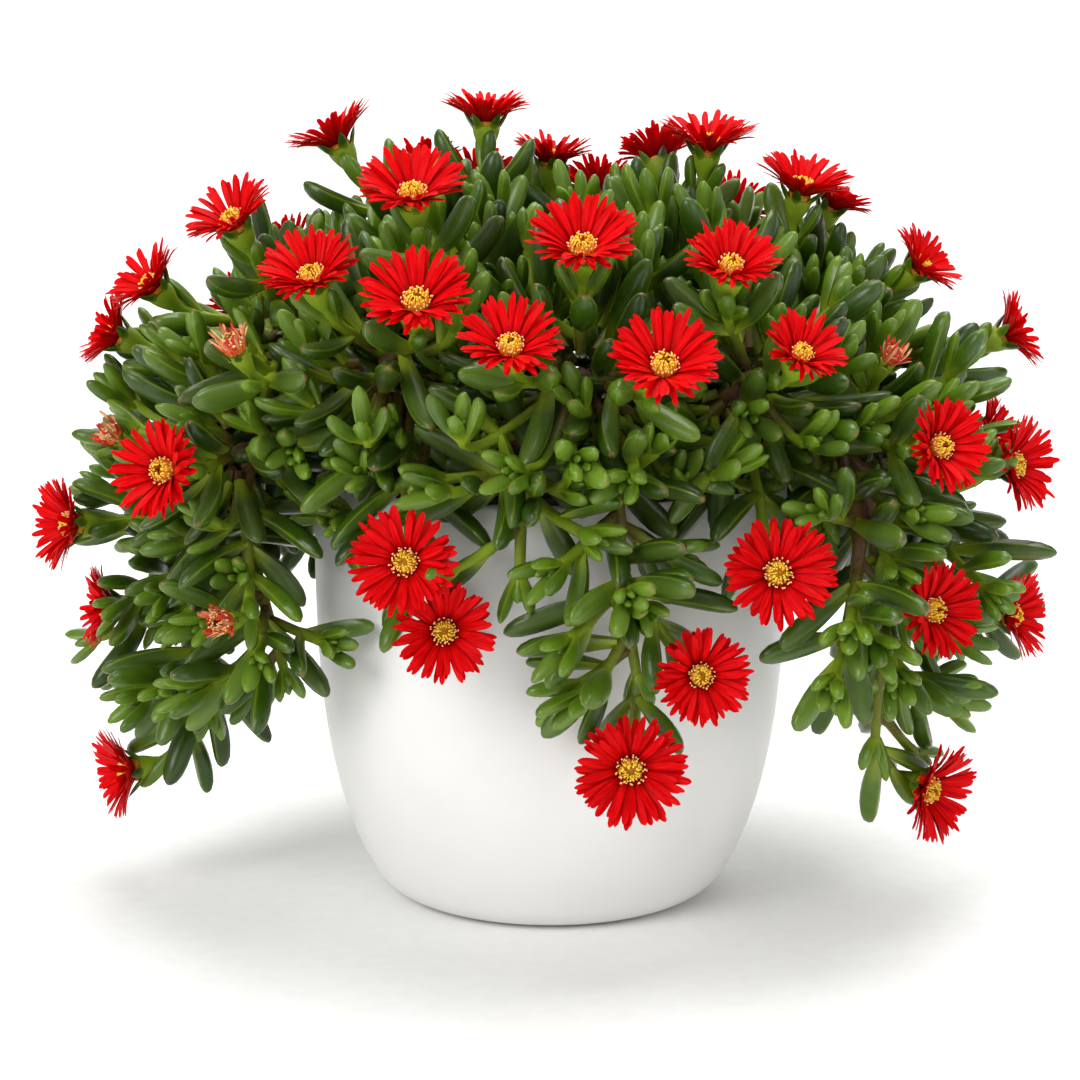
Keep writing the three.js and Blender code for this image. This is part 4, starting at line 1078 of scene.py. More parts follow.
class Surface:
    """Forms gathered for one mesh, with the numbers that its finishes read at each corner."""

    VALUES = ("along", "age", "pick", "side")
    triangles_in_all = 0

    def __init__(self) -> None:
        """Starts empty."""
        self.corners: list[Array] = []
        self.faces: list[Array] = []
        self.finish_of: list[Array] = []
        self.values: dict[str, list[Array]] = {name: [] for name in self.VALUES}
        self.count = 0

    def sweep(
        self,
        line: Array,
        aside: Array,
        top: Array,
        wide: Array,
        high: Array,
        tips: Array,
        finish: int = 0,
        **values: Array | float,
    ) -> None:
        """Adds copies of a closed form swept along a line, each with as many rings and sides.

        Args:
            line: the middle of every ring, by copy and ring.
            aside: the direction across it, or one for all.
            top: the direction square to both, or one for all.
            wide: how far each corner of a ring lies aside, by copy, ring and side, or one for all.
            high: how far it lies towards the top.
            tips: the point that each copy ends in.
            finish: which of the piece's finishes it takes.
            values: a number for each corner, or fewer for all, under the name that the finish reads.
        """
        aside, top = (np.broadcast_to(way, line.shape)[:, :, None] for way in (aside, top))
        ring = line[:, :, None] + aside * wide[..., None] + top * high[..., None]
        copies, rings, sides = ring.shape[:3]
        row, k = (grid.ravel() for grid in np.meshgrid(np.arange(rings - 1), np.arange(sides), indexing="ij"))
        after = (k + 1) % sides
        low, high_row = row * sides, (row + 1) * sides
        band = np.stack([low + k, low + after, high_row + after, high_row + k], axis=1)
        k = np.arange(sides)
        after = (k + 1) % sides
        root, tip = np.full(sides, rings * sides), np.full(sides, rings * sides + 1)
        last = (rings - 1) * sides
        caps = [np.stack([after, k, root, root], axis=1), np.stack([last + k, last + after, tip, tip], axis=1)]
        faces = np.concatenate([band, *caps])
        each = rings * sides + 2
        corners = np.concatenate([ring.reshape(copies, -1, 3), line[:, :1], tips[:, None]], axis=1)
        shift = self.count + np.arange(copies)[:, None, None] * each
        self.corners.append(corners.reshape(-1, 3))
        self.faces.append((faces[None] + shift).reshape(-1, 4))
        self.finish_of.append(np.full(copies * len(faces), finish))
        for name in self.VALUES:
            full = np.broadcast_to(values.get(name, 0.0), (copies, rings, sides)).reshape(copies, -1)
            self.values[name].append(np.concatenate([full, full[:, :1], full[:, -1:]], axis=1).ravel())
        self.count += copies * each

    def piece(
        self, name: str, finishes: Sequence[bpy.types.Material], node: str, sharp: float = 60.0
    ) -> None:
        """Makes the object, rides it on the plant's one body and lets it stand for its node.

        Args:
            name: the piece's name.
            finishes: its materials, in the order of their numbers.
            node: the node of the solids that it replaces.
            sharp: the angle in degrees above which an edge is left sharp.
        """
        corners = np.concatenate(self.corners) * MM
        faces = np.concatenate(self.faces)
        three = faces[:, 3] == faces[:, 2]
        sizes = np.where(three, 3, 4)
        keep = np.ones(faces.shape, dtype=bool)
        keep[three, 3] = False
        mesh = bpy.data.meshes.new(name)
        mesh.vertices.add(len(corners))
        mesh.vertices.foreach_set("co", corners.astype(np.float32).ravel())
        mesh.loops.add(int(sizes.sum()))
        mesh.loops.foreach_set("vertex_index", faces[keep].astype(np.int32))
        mesh.polygons.add(len(faces))
        mesh.polygons.foreach_set("loop_start", (np.cumsum(sizes) - sizes).astype(np.int32))
        for finish in finishes:
            mesh.materials.append(finish)
        mesh.polygons.foreach_set("material_index", np.concatenate(self.finish_of).astype(np.int32))
        for label, rows in self.values.items():
            attribute = mesh.attributes.new(label, "FLOAT", "POINT")
            attribute.data.foreach_set("value", np.concatenate(rows).astype(np.float32))
        mesh.update(calc_edges=True)
        mesh.validate()
        mesh.polygons.foreach_set("use_smooth", np.ones(len(mesh.polygons), dtype=bool))
        mesh.set_sharp_from_angle(angle=math.radians(sharp))
        made = bpy.data.objects.new(name, mesh)
        bpy.context.collection.objects.link(made)
        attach(made, "root")
        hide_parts(node)
        triangles = int((sizes - 2).sum())
        Surface.triangles_in_all += triangles
        LOG.info("%s: %d triangles, stands for %s", name, triangles, node)


def linear(code: int) -> tuple[float, float, float, float]:
    """Turns an sRGB hex value to the linear colour that a shader takes."""
    parts = [((code >> shift) & 0xFF) / 255 for shift in (16, 8, 0)]
    red, green, blue = (p / 12.92 if p <= 0.04045 else ((p + 0.055) / 1.055) ** 2.4 for p in parts)
    return (red, green, blue, 1.0)


def add_node(
    tree: Tree,
    kind: str,
    inputs: dict[str | int, object] | None = None,
    out: str | int = 0,
    stops: Sequence[tuple[float, int]] = (),
    **settings: object,
) -> Socket | None:
    """Adds a node with its settings and links.

    Args:
        tree: the material's node tree.
        kind: the node's type.
        inputs: a value, or the socket to link from, for each input by its name or number.
        out: the output that is wanted.
        stops: places and hex colours of its colour ramp, where it has one.
        settings: the node's own settings.

    Returns:
        The output, or None for a node without any.
    """
    made = tree.nodes.new(kind)
    for name, value in settings.items():
        setattr(made, name, value)
    for i, (place, colour) in enumerate(stops):
        ramp = made.color_ramp.elements
        stop = ramp[i] if i < 2 else ramp.new(place)
        stop.position, stop.color = place, linear(colour)
    for name, value in (inputs or {}).items():
        if isinstance(value, Socket):
            tree.links.new(value, made.inputs[name])
        else:
            made.inputs[name].default_value = value
    return made.outputs[out] if made.outputs else None


@dataclass(frozen=True)
class Finish:
    """What every finish has: its colours in its fields, and these numbers of its own.

    The noises have a real size in mm and a detail. The body has what its colour follows and the colours on the way. A
    layer over it has what it follows, where that starts and ends to let it show, how much of it shows there, and its
    colour. The relief has what it follows and its height in mm. The glow of wet flesh has its weight, its radius for
    red, green and blue, and its scale in mm. The gloss of a glaze has its weight and its roughness.
    """

    name: ClassVar[str] = "finish"
    noises: ClassVar[dict[str, tuple[float, float]]] = {}
    reads: ClassVar[tuple[str, ...]] = ()
    body: ClassVar[tuple[str, dict[float, str]]] = ("", {})
    layers: ClassVar[Sequence[tuple[str, float, float, float, str]]] = ()
    relief: ClassVar[tuple[str, float] | None] = None
    roughness: ClassVar[float | tuple[str, float, float]] = 0.5
    ior: ClassVar[float] = 1.5
    specular: ClassVar[float] = 0.5
    glow: ClassVar[tuple[float, tuple[float, float, float], float] | None] = None
    gloss: ClassVar[tuple[float, float] | None] = None

    def work_out(self, tree: Tree, it: dict[str, Socket]) -> None:
        """Works more numbers out of the place, the noises and the numbers read, where a finish needs any."""

    def material(self) -> bpy.types.Material:
        """Makes the material.

        Returns:
            The material.
        """
        made = bpy.data.materials.new(self.name)
        made.use_nodes = True
        tree = made.node_tree
        tree.nodes.clear()
        it = {"place": add_node(tree, "ShaderNodeTexCoord", out="Object")}
        for name, (size_mm, detail) in self.noises.items():
            it[name] = add_node(tree, NOISE, {"Vector": it["place"], "Scale": 1 / (size_mm * MM), "Detail": detail})
        for name in self.reads:
            it[name] = add_node(tree, "ShaderNodeAttribute", out="Fac", attribute_name=name)
        self.work_out(tree, it)
        stops = [(at, getattr(self, colour)) for at, colour in self.body[1].items()]
        colour = add_node(tree, RAMP, {"Fac": it[self.body[0]]}, stops=stops) if stops else it["colour"]
        for name, start, end, most, over in self.layers:
            share = add_node(tree, RANGE, {"Value": it[name], "From Min": start, "From Max": end, "To Max": most})
            layer = {0: share, 6: colour, 7: linear(getattr(self, over))}
            colour = add_node(tree, MIX, layer, 2, data_type="RGBA")
        inputs = {"Base Color": colour, "Roughness": self.roughness, "IOR": self.ior}
        inputs["Specular IOR Level"] = self.specular
        if isinstance(self.roughness, tuple):
            name, low, high = self.roughness
            inputs["Roughness"] = add_node(tree, RANGE, {"Value": it[name], "To Min": low, "To Max": high})
        if self.glow:
            inputs["Subsurface Weight"], inputs["Subsurface Radius"] = self.glow[:2]
            inputs["Subsurface Scale"] = self.glow[2] * MM
        if self.gloss:
            inputs["Coat Weight"], inputs["Coat Roughness"] = self.gloss
        if self.relief:
            name, height_mm = self.relief
            inputs["Normal"] = add_node(tree, BUMP, {"Height": it[name], "Distance": height_mm * MM})
        shader = add_node(tree, "ShaderNodeBsdfPrincipled", inputs)
        add_node(tree, "ShaderNodeOutputMaterial", {"Surface": shader})
        return made


@dataclass(frozen=True)
class GlazedEarthenware(Finish):
    """Slip-cast earthenware, dipped in a white satin glaze and fired."""

    # The glaze hides the casting marks. The eye gets an even off-white, a broad soft sheen, the faintest ripple and
    # pooling of the glaze, a few pinholes, and bare clay only on the ring that the pot stands on. Real pinholes are
    # 0.2 mm wide and are drawn coarser so that they show.
    name = "white_satin_glazed_earthenware"
    noises = {"pool": (40.0, 2.0), "ripple": (12.0, 1.0), "pinhole": (0.8, 1.0)}
    body = ("pool", {0.4: "glaze", 0.75: "pooled"})
    layers = (("pinhole", 0.74, 0.8, 0.3, "clay"), ("height", 0.0018, 0.0006, 1.0, "clay"))
    relief = ("ripple", 0.08)
    roughness = ("ripple", 0.4, 0.46)
    gloss = (0.15, 0.35)
    glaze: int = 0xE7E6E4
    pooled: int = 0xE2E1DF
    clay: int = 0xD5CEC2

    def work_out(self, tree: Tree, it: dict[str, Socket]) -> None:
        """Finds the height above the ground."""
        it["height"] = add_node(tree, "ShaderNodeSeparateXYZ", {"Vector": it["place"]}, "Z")


@dataclass(frozen=True)
class PottingSoil(Finish):
    """Peat potting soil, moist and crumbly."""

    # Moist peat is nearly black-brown and quite matt, and reads by its relief, with paler dry crumbs and grit in it.
    name = "moist_peat_potting_soil"
    noises = {"crumbs": (2.2, 4.0), "grit": (0.6, 3.0)}
    body = ("crumbs", {0.35: "moist", 0.62: "peat"})
    layers = (("grit", 0.6, 0.75, 0.7, "dry"),)
    relief = ("lumps", 0.9)
    roughness = 0.92
    ior = 1.4
    moist: int = 0x120C07
    peat: int = 0x2A1D13
    dry: int = 0x4B3A2A

    def work_out(self, tree: Tree, it: dict[str, Socket]) -> None:
        """Lays grit on the crumbs."""
        it["lumps"] = add_node(tree, MATH, {0: it["grit"], 1: 0.4, 2: it["crumbs"]}, operation="MULTIPLY_ADD")


@dataclass(frozen=True)
class SucculentLeaf(Finish):
    """The skin of an ice plant's leaf: a thin wax over wet green flesh."""

    # The wax gives the eye a broad pale highlight along a deep green body. The flesh is lime where the leaf is young
    # and at its foot, and the very tip dries to a tan point. The flat face is painted a paler grey-green towards its
    # middle, a painted highlight for the sheen of the wax. A thin lime line along each edge is painted light, for light
    # that shines through the thin edge. Real papillae are 0.1 mm wide and are drawn coarser so that they show.
    name = "waxy_succulent_leaf_skin"
    noises = {"mottle": (6.0, 3.0), "papillae": (0.5, 1.0)}
    reads = ("along", "age", "pick", "side")
    body = ("ripe", {0.12: "young", 0.5: "grown", 1.0: "old"})
    layers = (
        # Painted highlight: the flat face lightens to the pale grey-green towards its middle.
        ("side", 0.1, 1.0, 0.2, "bloom"),
        ("along", 0.36, 0.0, 0.95, "foot"),
        ("papillae", 0.6, 0.85, 0.12, "bloom"),
        # Painted light: a thin lime line along each edge, for light that shines through the thin edge.
        ("edge", 0.2, 0.0, 0.4, "foot"),
        ("dried", 0.0, 1.0, 0.75, "tip"),
    )
    relief = ("papillae", 0.05)
    roughness = ("mottle", 0.24, 0.4)
    ior = 1.42
    specular = 0.6
    glow = (0.12, (0.5, 1.0, 0.1), 1.2)
    old: int = 0x213604
    grown: int = 0x34520A
    young: int = 0x5F7F16
    foot: int = 0x92A41E
    # The pale grey-green of the painted highlight on the flat face, which the papillae dots take too.
    bloom: int = 0x8FA94C
    tip: int = 0x7C5A2A

    def work_out(self, tree: Tree, it: dict[str, Socket]) -> None:
        """Finds how ripe the skin is, how near to the leaf's edge, and how dry at the tips of some leaves.

        Args:
            tree: the material's node tree.
            it: the numbers by their names.
        """
        it["ripe"] = add_node(tree, MATH, {0: it["mottle"], 1: 0.35, 2: it["age"]}, operation="MULTIPLY_ADD")
        # How near the leaf's edge each point is, where the light line is painted.
        it["edge"] = add_node(tree, MATH, {0: it["side"]}, operation="ABSOLUTE")
        end = add_node(tree, RANGE, {"Value": it["along"], "From Min": 0.972, "From Max": 0.988})
        some = add_node(tree, RANGE, {"Value": it["pick"], "From Min": 0.25, "From Max": 0.9})
        it["dried"] = add_node(tree, MATH, {0: end, 1: some}, operation="MULTIPLY")


@dataclass(frozen=True)
class SucculentStem(Finish):
    """The skin of a stem, smooth and juicy at first and corky later."""

    # The young end is a translucent lime green. Older skin turns olive and then red-brown, with fine lengthwise
    # scores that catch the light.
    name = "succulent_stem_skin"
    noises = {"blotch": (4.0, 3.0), "score": (1.6, 4.0)}
    reads = ("age",)
    body = ("ripe", {0.25: "young", 0.6: "grown", 1.0: "woody"})
    layers = (("marks", 0.0, 1.0, 1.0, "bark"),)
    relief = ("score", 0.15)
    roughness = 0.48
    ior = 1.42
    specular = 0.4
    glow = (0.1, (0.8, 1.0, 0.2), 1.0)
    young: int = 0x7F981F
    grown: int = 0x6E7420
    woody: int = 0x5F4423
    bark: int = 0x35230F

    def work_out(self, tree: Tree, it: dict[str, Socket]) -> None:
        """Finds how ripe the skin is and where bark lies in the scores of old skin.

        Args:
            tree: the material's node tree.
            it: the numbers by their names.
        """
        it["ripe"] = add_node(tree, MATH, {0: it["blotch"], 1: 0.4, 2: it["age"]}, operation="MULTIPLY_ADD")
        deep = add_node(tree, RANGE, {"Value": it["score"], "From Min": 0.5, "From Max": 0.75})
        it["marks"] = add_node(tree, MATH, {0: deep, 1: it["age"]}, operation="MULTIPLY")


@dataclass(frozen=True)
class SilkyPetal(Finish):
    """An ice plant's petal: a thin strap of wet cells."""

    # The cells pass light on, so that the red stays vivid in the shade as well. It has fine streaks along the petal.
    # Its silky sheen with a touch of pink is painted: the streaks and some whole petals are lightened to a pink-tinted
    # bright red, a painted highlight over a real gloss that is kept low. It deepens to crimson at the foot, round the
    # stamens.
    name = "silky_red_petal"
    reads = ("along", "side", "pick")
    # The streaks run from red to the pink-tinted bright red: real streaks, lightened by a painted sheen.
    body = ("streak", {0.4: "red", 0.72: "bright"})
    # Some whole petals also lighten to the pink-tinted red, a painted sheen.
    layers = (("along", 0.4, 0.08, 0.92, "deep"), ("pick", 0.7, 1.0, 0.5, "bright"))
    relief = ("streak", 0.05)
    roughness = 0.42
    ior = 1.36
    specular = 0.06
    glow = (0.22, (1.0, 0.04, 0.03), 2.0)
    red: int = 0xC20002
    # The pink-tinted bright red of the streaks and of the painted sheen.
    bright: int = 0xEA1218
    deep: int = 0x820200
    streak_mm: float = 0.7
    half_width_mm: float = 1.2

    def work_out(self, tree: Tree, it: dict[str, Socket]) -> None:
        """Draws streaks, a few to a petal, across the width that the mesh holds.

        Args:
            tree: the material's node tree.
            it: the numbers by their names.
        """
        lane = add_node(tree, MATH, {0: it["pick"], 1: 40.0, 2: it["side"]}, operation="MULTIPLY_ADD")
        spot = add_node(tree, "ShaderNodeCombineXYZ", {0: lane, 1: it["along"], 2: it["pick"]})
        scale = self.half_width_mm / self.streak_mm
        it["streak"] = add_node(tree, NOISE, {"Vector": spot, "Scale": scale, "Detail": 2.0})


@dataclass(frozen=True)
class Pollen(Finish):
    """Stamens: moist threads with powdery anthers."""

    # The inner threads are golden and thick enough to glow, and their anthers matt with yellow pollen. The outer
    # threads are orange and keep back against the petals, so that their cream anthers show as a ring of dots. Pollen
    # grains are 0.03 mm wide and are drawn coarser so that they show.
    name = "golden_stamen"
    noises = {"grain": (0.3, 1.0)}
    reads = ("along", "pick")
    relief = ("grain", 0.08)
    roughness = 0.65
    ior = 1.4
    specular = 0.3
    glow = (0.3, (1.0, 0.5, 0.1), 0.6)
    gold: int = 0xFFB20A
    powder: int = 0xFFE24C
    cream: int = 0xFFDE9A
    orange: int = 0xE8500A

    def work_out(self, tree: Tree, it: dict[str, Socket]) -> None:
        """Colours the inner and the outer stamens along their length.

        Args:
            tree: the material's node tree.
            it: the numbers by their names.
        """
        anther = add_node(tree, RANGE, {"Value": it["along"], "From Min": 0.75, "From Max": 0.95})
        inner = {0: it["along"], 6: linear(self.gold), 7: linear(self.powder)}
        outer = {0: anther, 6: linear(self.orange), 7: linear(self.cream)}
        low, high = (add_node(tree, MIX, colours, 2, data_type="RGBA") for colours in (inner, outer))
        it["colour"] = add_node(tree, MIX, {0: it["pick"], 6: low, 7: high}, 2, data_type="RGBA")


@dataclass(frozen=True)
class BloomEye(Finish):
    """The floor of a bloom: the nectary, ripening to brown."""

    # It lies deep between the stamens and reads as a small matt spot of ochre. Its colours are partly the nectary's own
    # golden ochre and partly painted light: they are made lighter to make up for the shade deep between the stamens.
    name = "ochre_brown_nectary"
    noises = {"cells": (0.6, 2.0)}
    body = ("cells", {0.35: "brown", 0.65: "ochre"})
    relief = ("cells", 0.15)
    roughness = 0.6
    ior = 1.4
    # Both are partly the nectary's own colour, and partly painted light made lighter against the shade among the
    # stamens.
    ochre: int = 0xE2A818
    brown: int = 0xB06C10


@dataclass(frozen=True)
class WitheredPetal(Finish):
    """A spent head: petals dried on the plant to thin crumpled paper."""

    # Drying takes the wet glow out of the red. It goes matt and buff to brown at the shrivelled ends. The darker red in
    # the creases is painted shade and the salmon on the folds is a painted highlight, both laid on the noise of the
    # relief.
    name = "withered_papery_petal"
    noises = {"crease": (1.1, 4.0)}
    reads = ("along", "pick")
    # Painted shade in the low creases and a painted highlight on the raised folds, on the noise of the relief.
    body = ("crease", {0.35: "crease_shade_red", 0.65: "fold_highlight_salmon"})
    layers = (("pick", 0.55, 0.9, 0.85, "buff"), ("along", 0.8, 1.0, 0.5, "brown"))
    relief = ("crease", 0.3)
    roughness = 0.75
    ior = 1.35
    specular = 0.3
    # Darker red painted into the creases as shade, and salmon painted on the folds as a highlight.
    crease_shade_red: int = 0xBE1A14
    fold_highlight_salmon: int = 0xDE4E3E
    buff: int = 0xF0C48C
    brown: int = 0x9A4428


@dataclass(frozen=True)
class StudioPaper(Finish):
    """Matt white background paper, off the roll."""

    # It gives no gloss and only the faintest fibre. Real fibres are 0.5 mm wide and are drawn coarser.
    name = "matt_background_paper"
    noises = {"fibres": (6.0, 3.0)}
    body = ("fibres", {0.3: "white", 0.7: "fibre"})
    roughness = 0.95
    specular = 0.2
    white: int = 0xFBFBFA
    fibre: int = 0xF7F7F6


def turned(shape: Surface, outline: Sequence[tuple[float, float]], sides: int, floor: float) -> None:
    """Turns an outline round the upright axis into a closed form.

    Args:
        shape: the mesh that it joins.
        outline: radius and height of each ring, from the foot on.
        sides: how many corners each ring has.
        floor: the height of the point that it ends in.
    """
    radius, height = np.array(outline).T
    line = height[None, :, None] * UP
    shape.sweep(line, ACROSS, BACK, *round_rings(radius[None, :, None], sides), floor * UP[None])


@dataclass
class Pot:
    """The pot, turned finely on the outline of the solid: rounded foot, tapered wall and thin round rim."""

    sides: int = 144
    wall_rings: int = 22
    foot_rings: int = 10
    rim_rings: int = 6
    finish: GlazedEarthenware = GlazedEarthenware()

    def outline(self) -> list[tuple[float, float]]:
        """Draws the outline, from underneath round to the floor inside.

        Returns:
            The radius and height of each ring.
        """
        points = [(POT_FOOT_FLAT_RADIUS * 0.5, 0.0)]
        for i in range(self.foot_rings + 1):
            angle = i / self.foot_rings * (math.pi / 2 - POT_FOOT_LEAN)
            radius = POT_FOOT_FLAT_RADIUS + POT_FOOT_ROUND * math.sin(angle)
            points.append((radius, POT_FOOT_ROUND * (1 - math.cos(angle))))
        foot_top = points[-1][1]
        half = POT_WALL / 2
        wall_top = POT_HEIGHT - half
        for i in range(1, self.wall_rings + 1):
            z = foot_top + (wall_top - foot_top) * i / self.wall_rings
            points.append((pot_radius(z), z))
        for i in range(1, self.rim_rings + 1):
            angle = math.pi * i / self.rim_rings
            points.append((POT_RIM_RADIUS - half + half * math.cos(angle), wall_top + half * math.sin(angle)))
        points += [(pot_radius(float(z)) - POT_WALL, float(z)) for z in np.linspace(wall_top, POT_FLOOR + 14, 12)[1:]]
        return [*points, (POT_FOOT_FLAT_RADIUS, POT_FLOOR)]

    def build(self) -> None:
        """Builds the pot."""
        shape = Surface()
        turned(shape, self.outline(), self.sides, POT_FLOOR)
        shape.piece("pot_white_glazed", [self.finish.material()], "pot")


@dataclass
class Soil:
    """The soil: a low lumpy mound with crumbs of peat on it, over the plug that fills the pot."""

    sides: int = 110
    rings: int = 40
    mound: float = 2.4
    wall_gap: float = 1.0
    crumbs: int = 560
    crumb_size: tuple[float, float] = (1.0, 3.2)
    finish: PottingSoil = PottingSoil()

    def top_height(self, x: Array, y: Array) -> Array:
        """Gives the height of the soil's top at places across it.

        Args:
            x: how far right each place is.
            y: how far back it is.

        Returns:
            The heights.
        """
        out = np.hypot(x, y) / (POT_RIM_RADIUS - POT_WALL - self.wall_gap)
        points = np.stack([x, y, np.zeros_like(x)], axis=1)
        lumps = rough(points, 26, 1) * 1.1 + rough(points, 9, 2) * 0.7 + rough(points, 3.4, 3) * 0.45
        return SOIL_TOP + self.mound * (1 - out**2) + lumps

    def build(self) -> None:
        """Builds the soil."""
        widest = POT_RIM_RADIUS - POT_WALL - self.wall_gap
        plug = [(POT_FOOT_FLAT_RADIUS - 2, POT_FLOOR + 0.6), (pot_radius(28) - 5, 28.0), (pot_radius(76) - 5, 76.0)]
        outline = plug + [(widest * (1 - i / self.rings), SOIL_TOP) for i in range(self.rings)]
        shape = Surface()
        turned(shape, outline, self.sides, SOIL_TOP)
        corners = shape.corners[0]
        on_top = corners[:, 2] >= SOIL_TOP - 0.01
        corners[on_top, 2] = self.top_height(corners[on_top, 0], corners[on_top, 1])
        self.add_crumbs(shape, widest)
        shape.piece("soil_peat_crumbs", [self.finish.material()], "soil", 75.0)

    def add_crumbs(self, shape: Surface, widest: float) -> None:
        """Lays crumbs of peat over the top, each an uneven lump.

        Args:
            shape: the mesh that they join.
            widest: the radius of the top.
        """
        number = range(self.crumbs)
        turn = np.array([2 * math.pi * draw(7, i) for i in number])
        out = np.array([widest * 0.97 * math.sqrt(draw(8, i)) for i in number])
        low, high = self.crumb_size
        size = np.array([low + (high - low) * draw(9, i) ** 2 for i in number])
        place = np.stack([out * np.cos(turn), out * np.sin(turn)], axis=1)
        ground = self.top_height(place[:, 0], place[:, 1])
        rise = np.array([-0.25, 0.05, 0.3])[None] * size[:, None] * 1.1
        line = np.stack([np.repeat(place[:, :1], 3, 1), np.repeat(place[:, 1:], 3, 1), ground[:, None] + rise], axis=2)
        uneven = [[[0.75 + 0.5 * draw(20 + i, 6 * j + k) for k in range(6)] for j in range(3)] for i in number]
        radius = size[:, None, None] * 0.5 * np.array([0.8, 1.0, 0.7])[None, :, None] * np.array(uneven)
        tips = line[:, -1] + np.array([0, 0, 0.12]) * size[:, None]
        shape.sweep(line, ACROSS, BACK, *round_rings(radius, 6), tips)


@dataclass(frozen=True)
class LeafForm:
    """The form of one kind of leaf: how fat it is along its length and how its section is shaped."""

    stations: tuple[float, ...]
    fatness: tuple[float, ...]
    rise: float
    keel: float
    sides: int
    twist: float


FINGER_LEAF = LeafForm(
    stations=(0.0, 0.12, 0.27, 0.43, 0.58, 0.72, 0.85, 0.94, 0.985),
    fatness=(0.48, 0.62, 0.82, 0.96, 1.0, 0.97, 0.84, 0.58, 0.26),
    rise=0.3,
    keel=0.48,
    sides=8,
    twist=0.4,
)
INNER_LEAF = LeafForm(
    stations=(0.0, 0.2, 0.42, 0.62, 0.8, 0.92, 0.98),
    fatness=(0.5, 0.72, 0.95, 1.0, 0.84, 0.52, 0.22),
    rise=0.24,
    keel=0.46,
    sides=6,
    twist=0.4,
)
BUD_LEAF = LeafForm(
    stations=(0.0, 0.3, 0.6, 0.83, 0.96), fatness=(0.66, 0.93, 1.0, 0.78, 0.34), rise=0.3, keel=0.45, sides=6, twist=0.2
)
SEPAL_LEAF = LeafForm(
    stations=(0.0, 0.15, 0.35, 0.6, 0.8, 0.93),
    fatness=(0.9, 1.0, 0.98, 0.78, 0.46, 0.2),
    rise=0.2,
    keel=0.3,
    sides=6,
    twist=0.1,
)


